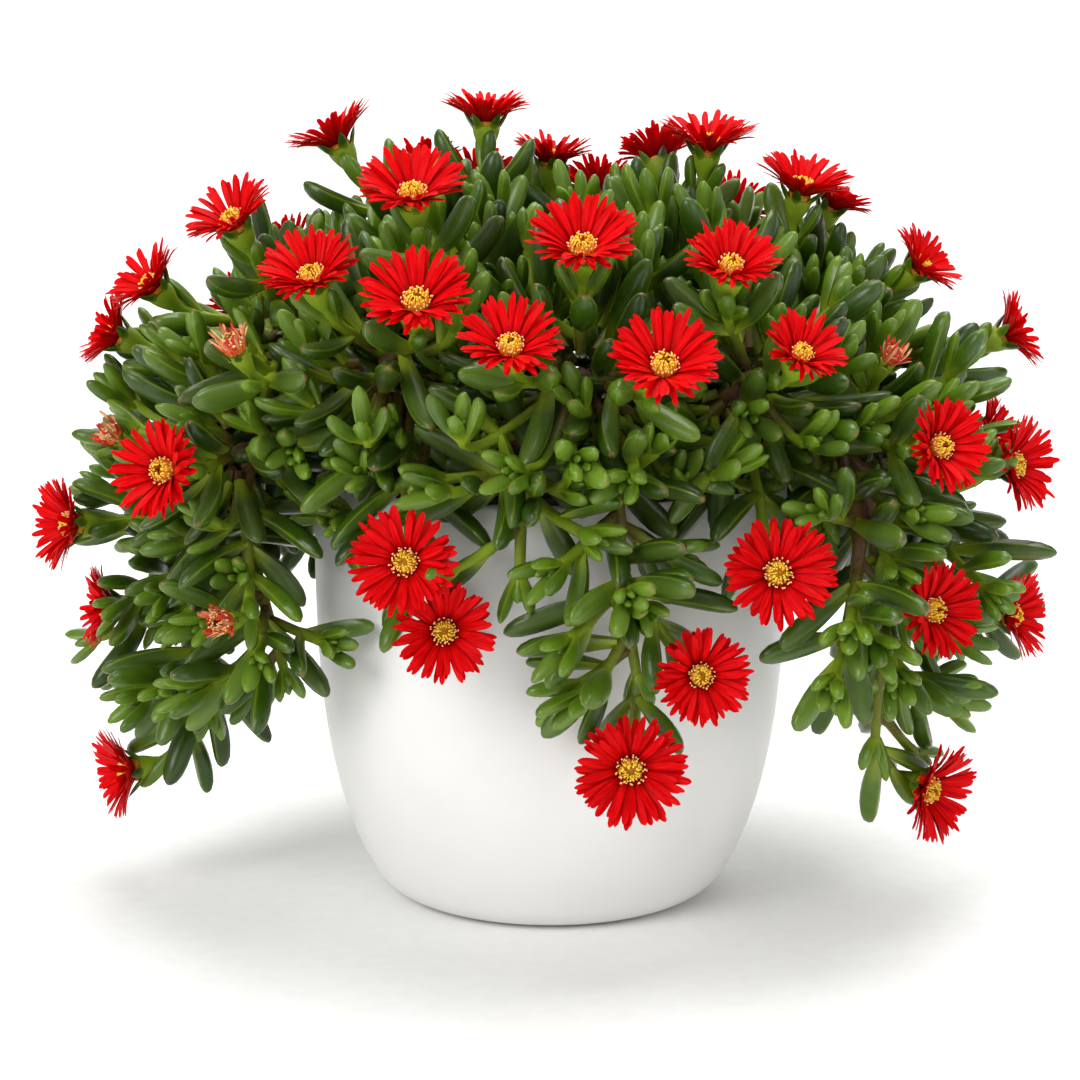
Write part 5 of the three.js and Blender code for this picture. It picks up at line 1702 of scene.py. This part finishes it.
@dataclass
class LeafyStems:
    """The green pieces: stems and shoots with their leaves, end buds, flower cups and sepals."""

    plant: Plant
    leaf: SucculentLeaf = SucculentLeaf()
    stem: SucculentStem = SucculentStem()
    stem_sides: int = 9
    shoot_sides: int = 6
    ring_step: float = 5.0
    taper: float = 0.42
    joint_swell: float = 0.28
    joint_length: float = 1.8
    bud_leaves: tuple[tuple[float, float, float], ...] = ((12.0, 5.0, 0.3), (6.5, 3.0, 0.1))
    inner: int = 34
    lower: int = 14
    lower_share: float = 0.6
    deep: int = 10
    deep_size: float = 12.0
    deep_places: tuple[tuple[str, tuple[float, float, float]], ...] = (
        ("leafy_stems_top", (8.0, 4.0, 171.3)),
        ("leafy_stems_top", (16.2, 20.0, 157.3)),
        ("leafy_stems_right", (50.6, 20.0, 162.4)),
    )
    inner_width: float = 6.4
    sepals: int = 5
    sepal_width: float = 3.2

    def build(self) -> None:
        """Builds every green piece."""
        finishes = [self.leaf.material(), self.stem.material()]
        for node in dict.fromkeys(stem.node for stem in self.plant.stems.values()):
            shape = Surface()
            shoots = [shoot for shoot in self.plant.shoots if shoot.stem.node == node]
            leaves = [leaf for shoot in shoots for leaf in shoot.leaves]
            leaves += [leaf for stem, leaf in self.plant.core_leaves if stem.node == node]
            cores = [stem for stem in self.plant.stems.values() if stem.node == node and stem.core > 0]
            self.add_leaves(shape, leaves, FINGER_LEAF)
            thick = [(stem.heart, stem.core, self.inner) for stem in cores]
            thick += [(stem.line.at(stem.line.length * self.lower_share)[0], stem.core, self.lower) for stem in cores]
            thick += [(np.array(place), self.deep_size, self.deep) for name, place in self.deep_places if name == node]
            self.add_leaves(shape, [leaf for place in thick for leaf in self.inner_leaves(*place)], INNER_LEAF)
            self.add_leaves(shape, [bud for shoot in shoots for bud in self.buds(shoot)], BUD_LEAF)
            heads = [shoot for shoot in shoots if shoot.head]
            self.add_leaves(shape, [sepal for shoot in heads for sepal in self.sepals_of(shoot)], SEPAL_LEAF)
            for shoot in shoots:
                self.add_shoot(shape, shoot)
            for stem in cores:
                self.add_stem(shape, stem)
            LOG.info("%s has %d leaves", node, len(leaves))
            shape.piece(f"{node}_fleshy", finishes, node)

    def add_leaves(self, shape: Surface, leaves: Sequence[Leaf], form: LeafForm) -> None:
        """Adds leaves, each bent along its line, with a gently rounded face and a keel.

        Args:
            shape: the mesh that they join.
            leaves: the leaves.
            form: what kind they are.
        """
        if not leaves:
            return
        root = np.array([leaf.line.points[0] for leaf in leaves])[:, None]
        middle = np.array([leaf.line.points[1] for leaf in leaves])[:, None]
        tip = np.array([leaf.line.points[-1] for leaf in leaves])[:, None]
        width = np.array([leaf.width for leaf in leaves])[:, None, None]
        face = np.array([leaf.face for leaf in leaves])[:, None]
        pick = np.array([draw(leaf.key, 8) for leaf in leaves])
        age = np.array([min(max(0.05 + 0.22 * leaf.pair + 0.4 * (draw(leaf.key, 9) - 0.4), 0), 1) for leaf in leaves])
        pull = middle + 0.5 * (middle - (root + tip) / 2)
        s = np.array(form.stations)[None, :, None]
        line = root * (1 - s) ** 2 + pull * 2 * s * (1 - s) + tip * s**2
        tangent = directions((pull - root) * (1 - s) + (tip - pull) * s)
        top = directions(face - tangent * np.sum(tangent * face, axis=2, keepdims=True))
        aside = np.cross(top, tangent)
        turn = ((pick - 0.5) * form.twist)[:, None, None] * s
        top, aside = top * np.cos(turn) + aside * np.sin(turn), aside * np.cos(turn) - top * np.sin(turn)
        angle = np.arange(form.sides) * (2 * math.pi / form.sides)
        fat = np.array(form.fatness)[None, :, None] * width
        wide = fat * 0.5 * np.cos(angle) * (1 - 0.12 * np.maximum(-np.sin(angle), 0))
        high = fat * np.where(np.sin(angle) > 0, form.rise, form.keel) * np.sin(angle)
        values = {"along": s, "side": np.sin(angle), "age": age[:, None, None], "pick": pick[:, None, None]}
        shape.sweep(line, aside, top, wide, high, tip[:, 0], 0, **values)

    def inner_leaves(self, centre: Array, size: float, count: int) -> list[Leaf]:
        """Makes old leaves all round a place in the thick of a bunch.

        Args:
            centre: the place.
            size: how far about they reach from it.
            count: how many there are.

        Returns:
            The leaves.
        """
        made = []
        for i in range(count):
            way = facing(i * GOLDEN_TURN, math.asin(1 - 2 * (i + 0.5) / count))
            key = 700000 + 100 * round(abs(centre[0] * 3) + abs(centre[1])) + i
            reach = size * (0.8 + 0.25 * draw(key, 0))
            tilt = unit(way + 0.5 * facing(6.28 * draw(key, 1), 0.4))
            root = centre + way * size * 0.15
            middle, tip = root + tilt * reach * 0.42, centre + way * reach
            made.append(Leaf(Line([root, middle, tip]), self.inner_width, UP, 4, key))
        return made

    def buds(self, shoot: Shoot) -> list[Leaf]:
        """Makes the small unopened leaves at the tip of a shoot that carries no head.

        Args:
            shoot: the shoot.

        Returns:
            The leaves, none where it carries a head.
        """
        if shoot.head:
            return []
        point, tangent = shoot.line.at(shoot.line.length)
        first, second = across(tangent, shoot.guide)
        made = []
        for step, (length, width, opening) in enumerate(self.bud_leaves):
            for side in range(2):
                key = shoot.seed * 16 + 12 + step * 2 + side
                angle = shoot.turn + math.pi * ((1 - step) / 2 + side)
                out = first * math.cos(angle) + second * math.sin(angle)
                way = unit(tangent + out * (opening + 0.25 * draw(key, 1)))
                grown = length * (0.8 + 0.5 * draw(key, 2))
                root = point - tangent * 0.5 + out * 0.5
                middle = root + way * grown / 2
                tip = middle + unit(way + tangent * 0.3) * grown / 2
                made.append(Leaf(Line([root, middle, tip]), width, tangent, -1, key))
        return made

    def sepals_of(self, shoot: Shoot) -> list[Leaf]:
        """Makes the sepals that stand round a flower cup, close under the petals.

        Args:
            shoot: the shoot that ends in the cup.

        Returns:
            The sepals.
        """
        head = shoot.head
        first, second = across(head.way, sideways(head.way))
        made = []
        for i in range(self.sepals):
            key = shoot.seed * 16 + 900000 + i
            angle = 2 * math.pi * (i + 0.3 * draw(key, 0)) / self.sepals
            out = first * math.cos(angle) + second * math.sin(angle)
            reach = head.radius * (0.44 + 0.14 * draw(key, 1)) * (1.15 if head.spent else 1)
            share = reach / head.radius
            root = head.place - head.way * 1.9 + out * CUP_RADIUS * 0.72
            middle = head.place + out * (reach * 0.72) + head.way * (face_height(share * 0.72, head.radius) - 3.2)
            tip = head.place + out * reach + head.way * (face_height(share, head.radius) - 2.2)
            width = self.sepal_width * min(1, head.radius / CUP_FULL_BLOOM)
            made.append(Leaf(Line([root, middle, tip]), width, head.way, 1, key))
        return made

    def tube(self, shape: Surface, line: Line, rings: Sequence[tuple[float, float, float]], guide: Array) -> None:
        """Adds a round stem along a line, closed at both ends.

        Args:
            shape: the mesh that it joins.
            line: the line that it follows.
            rings: for each ring, the distance along, the radius and how old the skin is.
            guide: the direction that the rings start from.
        """
        marks, radii, ages = (np.array(column) for column in zip(*rings))
        sides = self.stem_sides if radii.max() > SHOOT_RADIUS * 1.3 else self.shoot_sides
        points, tangents = (np.array(column) for column in zip(*(line.at(float(mark)) for mark in marks)))
        first = directions(guide - tangents * (tangents @ guide)[:, None])
        tip = points[-1] + tangents[-1] * min(float(radii[-1]), SHOOT_RADIUS) * 0.4
        second, rounds = np.cross(tangents, first), round_rings(radii[None, :, None], sides)
        shape.sweep(points[None], first[None], second[None], *rounds, tip[None], 1, age=ages[None, :, None])

    def add_shoot(self, shape: Surface, shoot: Shoot) -> None:
        """Adds a shoot with a slight joint at each pair of leaves and, under a head, its flaring cup.

        Args:
            shape: the mesh that it joins.
            shoot: the shoot.
        """
        line = shoot.line
        hanging = shoot.radius == STEM_RADIUS
        end = line.length - CUP_LENGTH if shoot.head else line.length
        joints = [line.length - shoot.back_of(pair) for pair in {leaf.pair for leaf in shoot.leaves}]
        steps = max(3, math.ceil((end - shoot.start) / self.ring_step))
        marks = [shoot.start + (end - shoot.start) * i / steps for i in range(steps + 1)]
        marks = sorted({*marks, *(joint + side for joint in joints for side in (-1.0, 1.0) if joint + 1 < end)})
        rings = []
        for mark in marks:
            swell = min(sum(math.exp(-(((mark - joint) / self.joint_length) ** 2)) for joint in joints), 1)
            share = (mark - shoot.start) / max(end - shoot.start, 1)
            radius = shoot.radius * (1 - (self.taper if hanging else 0.12) * share) * (1 + self.joint_swell * swell)
            age = 0.75 - share + (0.5 if hanging else 0.0) + 0.3 * (draw(shoot.seed, 14) - 0.5)
            rings.append((mark, radius, min(max(age, 0), 1)))
        if shoot.head:
            lip, neck = CUP_RADIUS * min(1, shoot.head.radius / CUP_FULL_BLOOM), rings[-1][1]
            for u in (0.18, 0.36, 0.54, 0.72, 0.88, 1.0):
                radius = neck + (lip - neck) * math.sin(u * math.pi / 2) ** 1.5
                rings.append((end + (CUP_LENGTH + CUP_RISE) * u, radius, 0.05))
        self.tube(shape, line, rings, shoot.guide)

    def add_stem(self, shape: Surface, stem: Stem) -> None:
        """Adds a main stem and the knot of old wood that it forks in.

        Args:
            shape: the mesh that they join.
            stem: the stem.
        """
        steps = max(4, math.ceil(stem.line.length / self.ring_step))
        rings = [(stem.line.length * i / steps, STEM_RADIUS * (1.15 - 0.25 * i / steps), 0.9) for i in range(steps + 1)]
        self.tube(shape, stem.line, rings, np.array([0.8, 0.6, 0.0]))
        size = stem.core * 0.24
        knot = Line([stem.heart - UP * size, stem.heart, stem.heart + UP * size])
        profile = [(i / 7, math.sin(math.pi * i / 7)) for i in range(1, 7)]
        bulges = [(2 * size * u, size * r * (1 + 0.2 * draw(31, i)), 1.0) for i, (u, r) in enumerate(profile)]
        self.tube(shape, knot, bulges, np.array([1.0, 0.0, 0.0]))


@dataclass(frozen=True)
class PetalLayer:
    """A layer of petals: how many, how far they reach, how high they lie and how far they are turned."""

    petals: int
    reach: float
    height: float
    turn: float


@dataclass(frozen=True)
class StamenRing:
    """A ring of stamens: how many, radius at the foot, the knee and the top, height, and 1 for cream anthers."""

    stamens: int
    foot: float
    knee: float
    top: tuple[float, float]
    height: tuple[float, float]
    cream: float


@dataclass(frozen=True)
class Bloom:
    """A bloom: narrow round-tipped petals in four layers round three rings of stamens and a low eye."""

    layers: tuple[PetalLayer, ...] = (
        PetalLayer(22, 1.0, -2.6, 0.0),
        PetalLayer(21, 0.98, -1.2, 0.5),
        PetalLayer(18, 0.93, 0.2, 0.25),
        PetalLayer(13, 0.84, 1.4, 0.75),
    )
    stations: tuple[float, ...] = (0.0, 0.25, 0.5, 0.7, 0.85, 0.94, 0.985)
    breadth: tuple[float, ...] = (0.55, 0.8, 0.98, 1.0, 0.9, 0.7, 0.4)
    petal_width: float = 0.126
    petal_thickness: float = 0.3
    groove: float = 0.1
    foot_radius: float = 2.4
    sway: float = 0.5
    crumple: float = 0.0
    rings: tuple[StamenRing, ...] = (
        StamenRing(24, 2.8, 3.0, (1.0, 2.1), (4.2, 5.2), 0.0),
        StamenRing(22, 3.0, 3.2, (2.2, 3.0), (3.8, 4.8), 0.35),
        StamenRing(30, 3.1, 3.6, (3.1, 4.0), (3.0, 4.0), 1.0),
    )
    thread: float = 0.22
    anther: tuple[float, float] = (0.5, 0.75)
    eye_radius: float = 3.4
    middle_size: float = 1.0

    def add_petals(self, shape: Surface, head: Head, seed: int) -> None:
        """Adds the petals of a head.

        Args:
            shape: the mesh that they join.
            head: the head.
            seed: what its draws are taken from.
        """
        first, second = across(head.way, sideways(head.way))
        radius = head.radius
        rows = []
        for number, layer in enumerate(self.layers):
            for i in range(layer.petals):
                key = seed * 97 + number * 1000 + i
                turn = 2 * math.pi * (i + layer.turn + self.sway * (draw(key, 0) - 0.5)) / layer.petals
                reach = radius * layer.reach * (1 - 0.14 * draw(key, 1) - self.crumple * draw(key, 5))
                height = layer.height + 2.2 * (draw(key, 2) - 0.5) + self.crumple * radius * (draw(key, 6) - 0.3)
                rows.append((turn, reach, height, 2.0 * (draw(key, 3) - 0.5), draw(key, 4), draw(key, 7)))
        turn, reach, height, bend, pick, other = (np.array(column)[:, None] for column in zip(*rows))
        t = np.array(self.stations)[None]
        out = self.foot_radius + (reach - self.foot_radius) * t
        rise = face_height(np.minimum(out / radius, 1.0), radius) - 2.4 * (1 - t) ** 2 + height * t + bend * t**3
        curl = self.crumple * t**2 * radius
        out = out - curl * 1.1 * other
        rise = rise + curl * 0.5 * (pick - 0.2)
        aim = turn + (self.crumple * 1.2 + 0.16) * (other - 0.5) * t
        radial = np.cos(aim)[..., None] * first + np.sin(aim)[..., None] * second
        line = head.place + radial * out[..., None] + head.way * rise[..., None]
        tangent = directions(np.gradient(line, axis=1))
        aside = directions(np.cross(head.way, radial))
        top = directions(np.cross(tangent, aside))
        tilt = ((pick - 0.5) * (0.6 + 2.2 * self.crumple))[..., None]
        aside, top = aside * np.cos(tilt) + top * np.sin(tilt), top * np.cos(tilt) - aside * np.sin(tilt)
        breadth = self.petal_width * radius * (0.85 + 0.3 * other)[..., None] * np.array(self.breadth)[None, :, None]
        across_it = np.array([0.5, 0.0, -0.5, 0.0])
        slim = self.petal_thickness * np.minimum(1.0, 3.0 * (1 - t))[..., None]
        lift = np.array([1.0, 0.0, 1.0, 0.0]) * self.groove * breadth
        lift = lift + np.array([0.0, 0.5, 0.0, -0.5]) * slim
        tip = line[:, -1] + tangent[:, -1] * (0.02 * radius)
        values = {"along": t[..., None], "side": across_it * 2, "pick": pick[..., None]}
        shape.sweep(line, aside, top, across_it * breadth, lift, tip, 0, **values)

    def add_stamens(self, shape: Surface, head: Head, seed: int) -> None:
        """Adds the rings of stamens, each a thread with an anther on its end.

        Args:
            shape: the mesh that they join.
            head: the head.
            seed: what their draws are taken from.
        """
        first, second = across(head.way, sideways(head.way))
        size = head.radius / 15 * self.middle_size
        rows = []
        for number, ring in enumerate(self.rings):
            for i in range(ring.stamens):
                key = seed * 131 + 40000 + number * 100 + i
                turn = 2 * math.pi * (i + 0.7 * draw(key, 0)) / ring.stamens
                top = ring.top[0] + (ring.top[1] - ring.top[0]) * draw(key, 1)
                high = ring.height[0] + (ring.height[1] - ring.height[0]) * draw(key, 2)
                rows.append((turn, ring.foot, ring.knee, top, high, ring.cream, draw(key, 4) - 0.5, draw(key, 5) - 0.5))
        turn, foot, knee, top, high, cream, swing, lean = (np.array(column)[:, None] for column in zip(*rows))
        t = np.array([0.0, 0.4, 0.75, 1.0])[None]
        out = foot * (1 - t) ** 2 + knee * 2 * t * (1 - t) + top * t**2
        rise = 0.3 + (high - 0.3) * (1 - (1 - t) ** 1.6)
        aim = turn + 0.3 * swing * t
        radial = np.cos(aim)[..., None] * first + np.sin(aim)[..., None] * second
        line = head.place + (radial * out[..., None] + head.way * rise[..., None]) * size
        tangent = directions(np.gradient(line, axis=1))
        aside = directions(np.cross(head.way, radial))
        upper = np.cross(tangent, aside)
        girth = (self.thread * (1 - 0.45 * cream) * np.array([1.0, 0.95, 0.85, 0.7])[None])[..., None]
        values = {"along": (t * 0.7)[..., None], "pick": cream[..., None]}
        shape.sweep(line, aside, upper, *round_rings(girth, 3), line[:, -1] + tangent[:, -1] * 0.1, 1, **values)
        way = directions(tangent[:, -1] + 0.8 * head.way + aside[:, -1] * swing * 1.6 + radial[:, -1] * lean * 1.6)
        length = self.anther[1] * size * (1 - 0.15 * cream)
        steps = np.array([-0.4, 0.0, 0.4])[None, :, None]
        body = line[:, -1:] + way[:, None] * (length[:, None] * steps)
        one = directions(np.cross(way, radial[:, -1] + 0.01))[:, None]
        two = np.cross(way[:, None], one)
        girth = self.anther[0] * size * 0.5 * np.array([0.7, 1.0, 0.7])[None, :, None]
        tips = body[:, -1] + way * length * 0.14
        shape.sweep(body, one, two, *round_rings(girth, 5), tips, 1, along=1.0, pick=cream[..., None])

    def add_eye(self, shape: Surface, head: Head) -> None:
        """Adds the low dome that petals and stamens stand on.

        Args:
            shape: the mesh that it joins.
            head: the head.
        """
        first, second = across(head.way, sideways(head.way))
        size = self.eye_radius * head.radius / 15
        rise = np.array([-1.0, 0.3, 0.75, 1.0])
        radius = np.array([1.0, 1.0, 0.72, 0.36])[None, :, None] * size
        line = (head.place + head.way * rise[:, None])[None]
        shape.sweep(line, first, second, *round_rings(radius, 14), line[:, -1] + head.way * 0.1, 2)


@dataclass
class Blooms:
    """All the open blooms, a piece for each node of the solids."""

    heads: Sequence[Head]
    spent: bool = False
    ending: str = "petals"
    slot: Slot = Slot.PETALS
    sharp: float = 50.0
    form: Bloom = Bloom()
    petal: Finish = SilkyPetal()
    pollen: Finish = Pollen()
    eye: Finish = BloomEye()

    def build(self) -> None:
        """Builds every bloom of its kind."""
        finishes = [finish.material() for finish in (self.petal, self.pollen, self.eye)]
        for node in dict.fromkeys(head.node for head in self.heads if head.spent == self.spent):
            shape = Surface()
            for seed, head in enumerate(self.heads, 1):
                if head.node == node:
                    self.form.add_petals(shape, head, seed)
                    self.form.add_eye(shape, head)
                    self.form.add_stamens(shape, head, seed)
            shape.piece(f"{node}_{self.ending}", finishes, node, self.sharp)


@dataclass
class SpentBlooms(Blooms):
    """The withered heads: shrunken, curled and crumpled, with a dried tuft in the middle."""

    spent: bool = True
    ending: str = "withered"
    slot: Slot = Slot.SPENT
    form: Bloom = Bloom(
        layers=(PetalLayer(15, 1.0, -0.4, 0.0), PetalLayer(14, 0.9, 0.8, 0.5), PetalLayer(11, 0.7, 1.6, 0.2)),
        petal_width=0.13,
        crumple=0.36,
        sway=0.9,
        foot_radius=1.8,
        middle_size=1.75,
        eye_radius=2.8,
    )
    petal: Finish = WitheredPetal()
    pollen: Finish = Pollen(gold=0xE8A048, powder=0xF6D48C, cream=0xF8E2AC)


@dataclass
class Studio:
    """White background paper that sweeps up behind the pot, soft lamps and the camera."""

    camera_place: tuple[float, float, float] = (-0.0033, -0.700, 0.220)
    camera_pitch: float = 8.7
    focal_pixels: float = 2215.0
    frame_pixels: float = 1080.0
    sensor: float = 36.0
    air: float = 0.38
    lamps: tuple[tuple[str, tuple[float, float, float], float, float], ...] = (
        ("key_lamp", (-1.3, -1.8, 1.4), 1.3, 38.0),
        ("fill_lamp", (1.9, -1.5, 0.9), 1.6, 13.0),
        ("top_lamp", (0.2, 0.1, 2.3), 1.5, 46.0),
    )
    paper: StudioPaper = StudioPaper()

    def build(self) -> None:
        """Builds the studio."""
        self.add_paper()
        for name, place, size, watts in self.lamps:
            self.add_lamp(name, place, size, watts)
        world = bpy.data.worlds.new("studio_air")
        world.use_nodes = True
        background = world.node_tree.nodes["Background"]
        background.inputs["Color"].default_value = (1.0, 1.0, 1.0, 1.0)
        background.inputs["Strength"].default_value = self.air
        bpy.context.scene.world = world
        bpy.context.scene.view_settings.view_transform = "Standard"
        self.add_camera()

    def add_camera(self) -> None:
        """Adds the camera at the photograph's place and angle."""
        data = bpy.data.cameras.new("camera")
        data.sensor_width = self.sensor
        data.lens = self.focal_pixels / self.frame_pixels * self.sensor
        data.clip_start, data.clip_end = 0.05, 20.0
        camera = bpy.data.objects.new("camera", data)
        camera.location = self.camera_place
        camera.rotation_euler = (math.radians(90 - self.camera_pitch), 0.0, 0.0)
        bpy.context.collection.objects.link(camera)
        bpy.context.scene.camera = camera

    def add_lamp(self, name: str, place: tuple[float, float, float], size: float, watts: float) -> None:
        """Adds a square soft lamp that looks at the plant.

        Args:
            name: the lamp's name.
            place: where it stands, in metres.
            size: the length of its side.
            watts: its power.
        """
        data = bpy.data.lights.new(name, "AREA")
        data.size, data.energy = size, watts
        lamp = bpy.data.objects.new(name, data)
        lamp.location = place
        aim = np.array([0.0, 0.0, 0.14]) - np.array(place)
        lamp.rotation_euler = (math.atan2(math.hypot(aim[0], aim[1]), -aim[2]), 0.0, math.atan2(-aim[0], aim[1]))
        bpy.context.collection.objects.link(lamp)

    def add_paper(self) -> None:
        """Adds the background paper: floor, sweep and wall in one sheet."""
        bend, back, wall, half, front = 0.9, 1.6, 3.2, 3.0, -2.6
        profile = [(front, 0.0), (back - bend, 0.0)]
        for i in range(1, 17):
            angle = math.pi / 2 * i / 16
            profile.append((back - bend + bend * math.sin(angle), bend * (1 - math.cos(angle))))
        profile.append((back, wall))
        corners = [(x, y, z) for y, z in profile for x in (-half, half)]
        faces = [(2 * i, 2 * i + 1, 2 * i + 3, 2 * i + 2) for i in range(len(profile) - 1)]
        mesh = bpy.data.meshes.new("background_paper")
        mesh.from_pydata(corners, [], faces)
        mesh.polygons.foreach_set("use_smooth", [True] * len(faces))
        mesh.materials.append(self.paper.material())
        sheet = bpy.data.objects.new("background_paper", mesh)
        bpy.context.collection.objects.link(sheet)


def main() -> None:
    """Builds the plant, its pot and the studio."""
    logging.basicConfig(level=logging.INFO, format="%(message)s")
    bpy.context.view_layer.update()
    Studio().build()
    Pot().build()
    Soil().build()
    plant = Plant()
    LeafyStems(plant).build()
    Blooms(plant.heads).build()
    SpentBlooms(plant.heads).build()


if __name__ == "__main__":
    main()
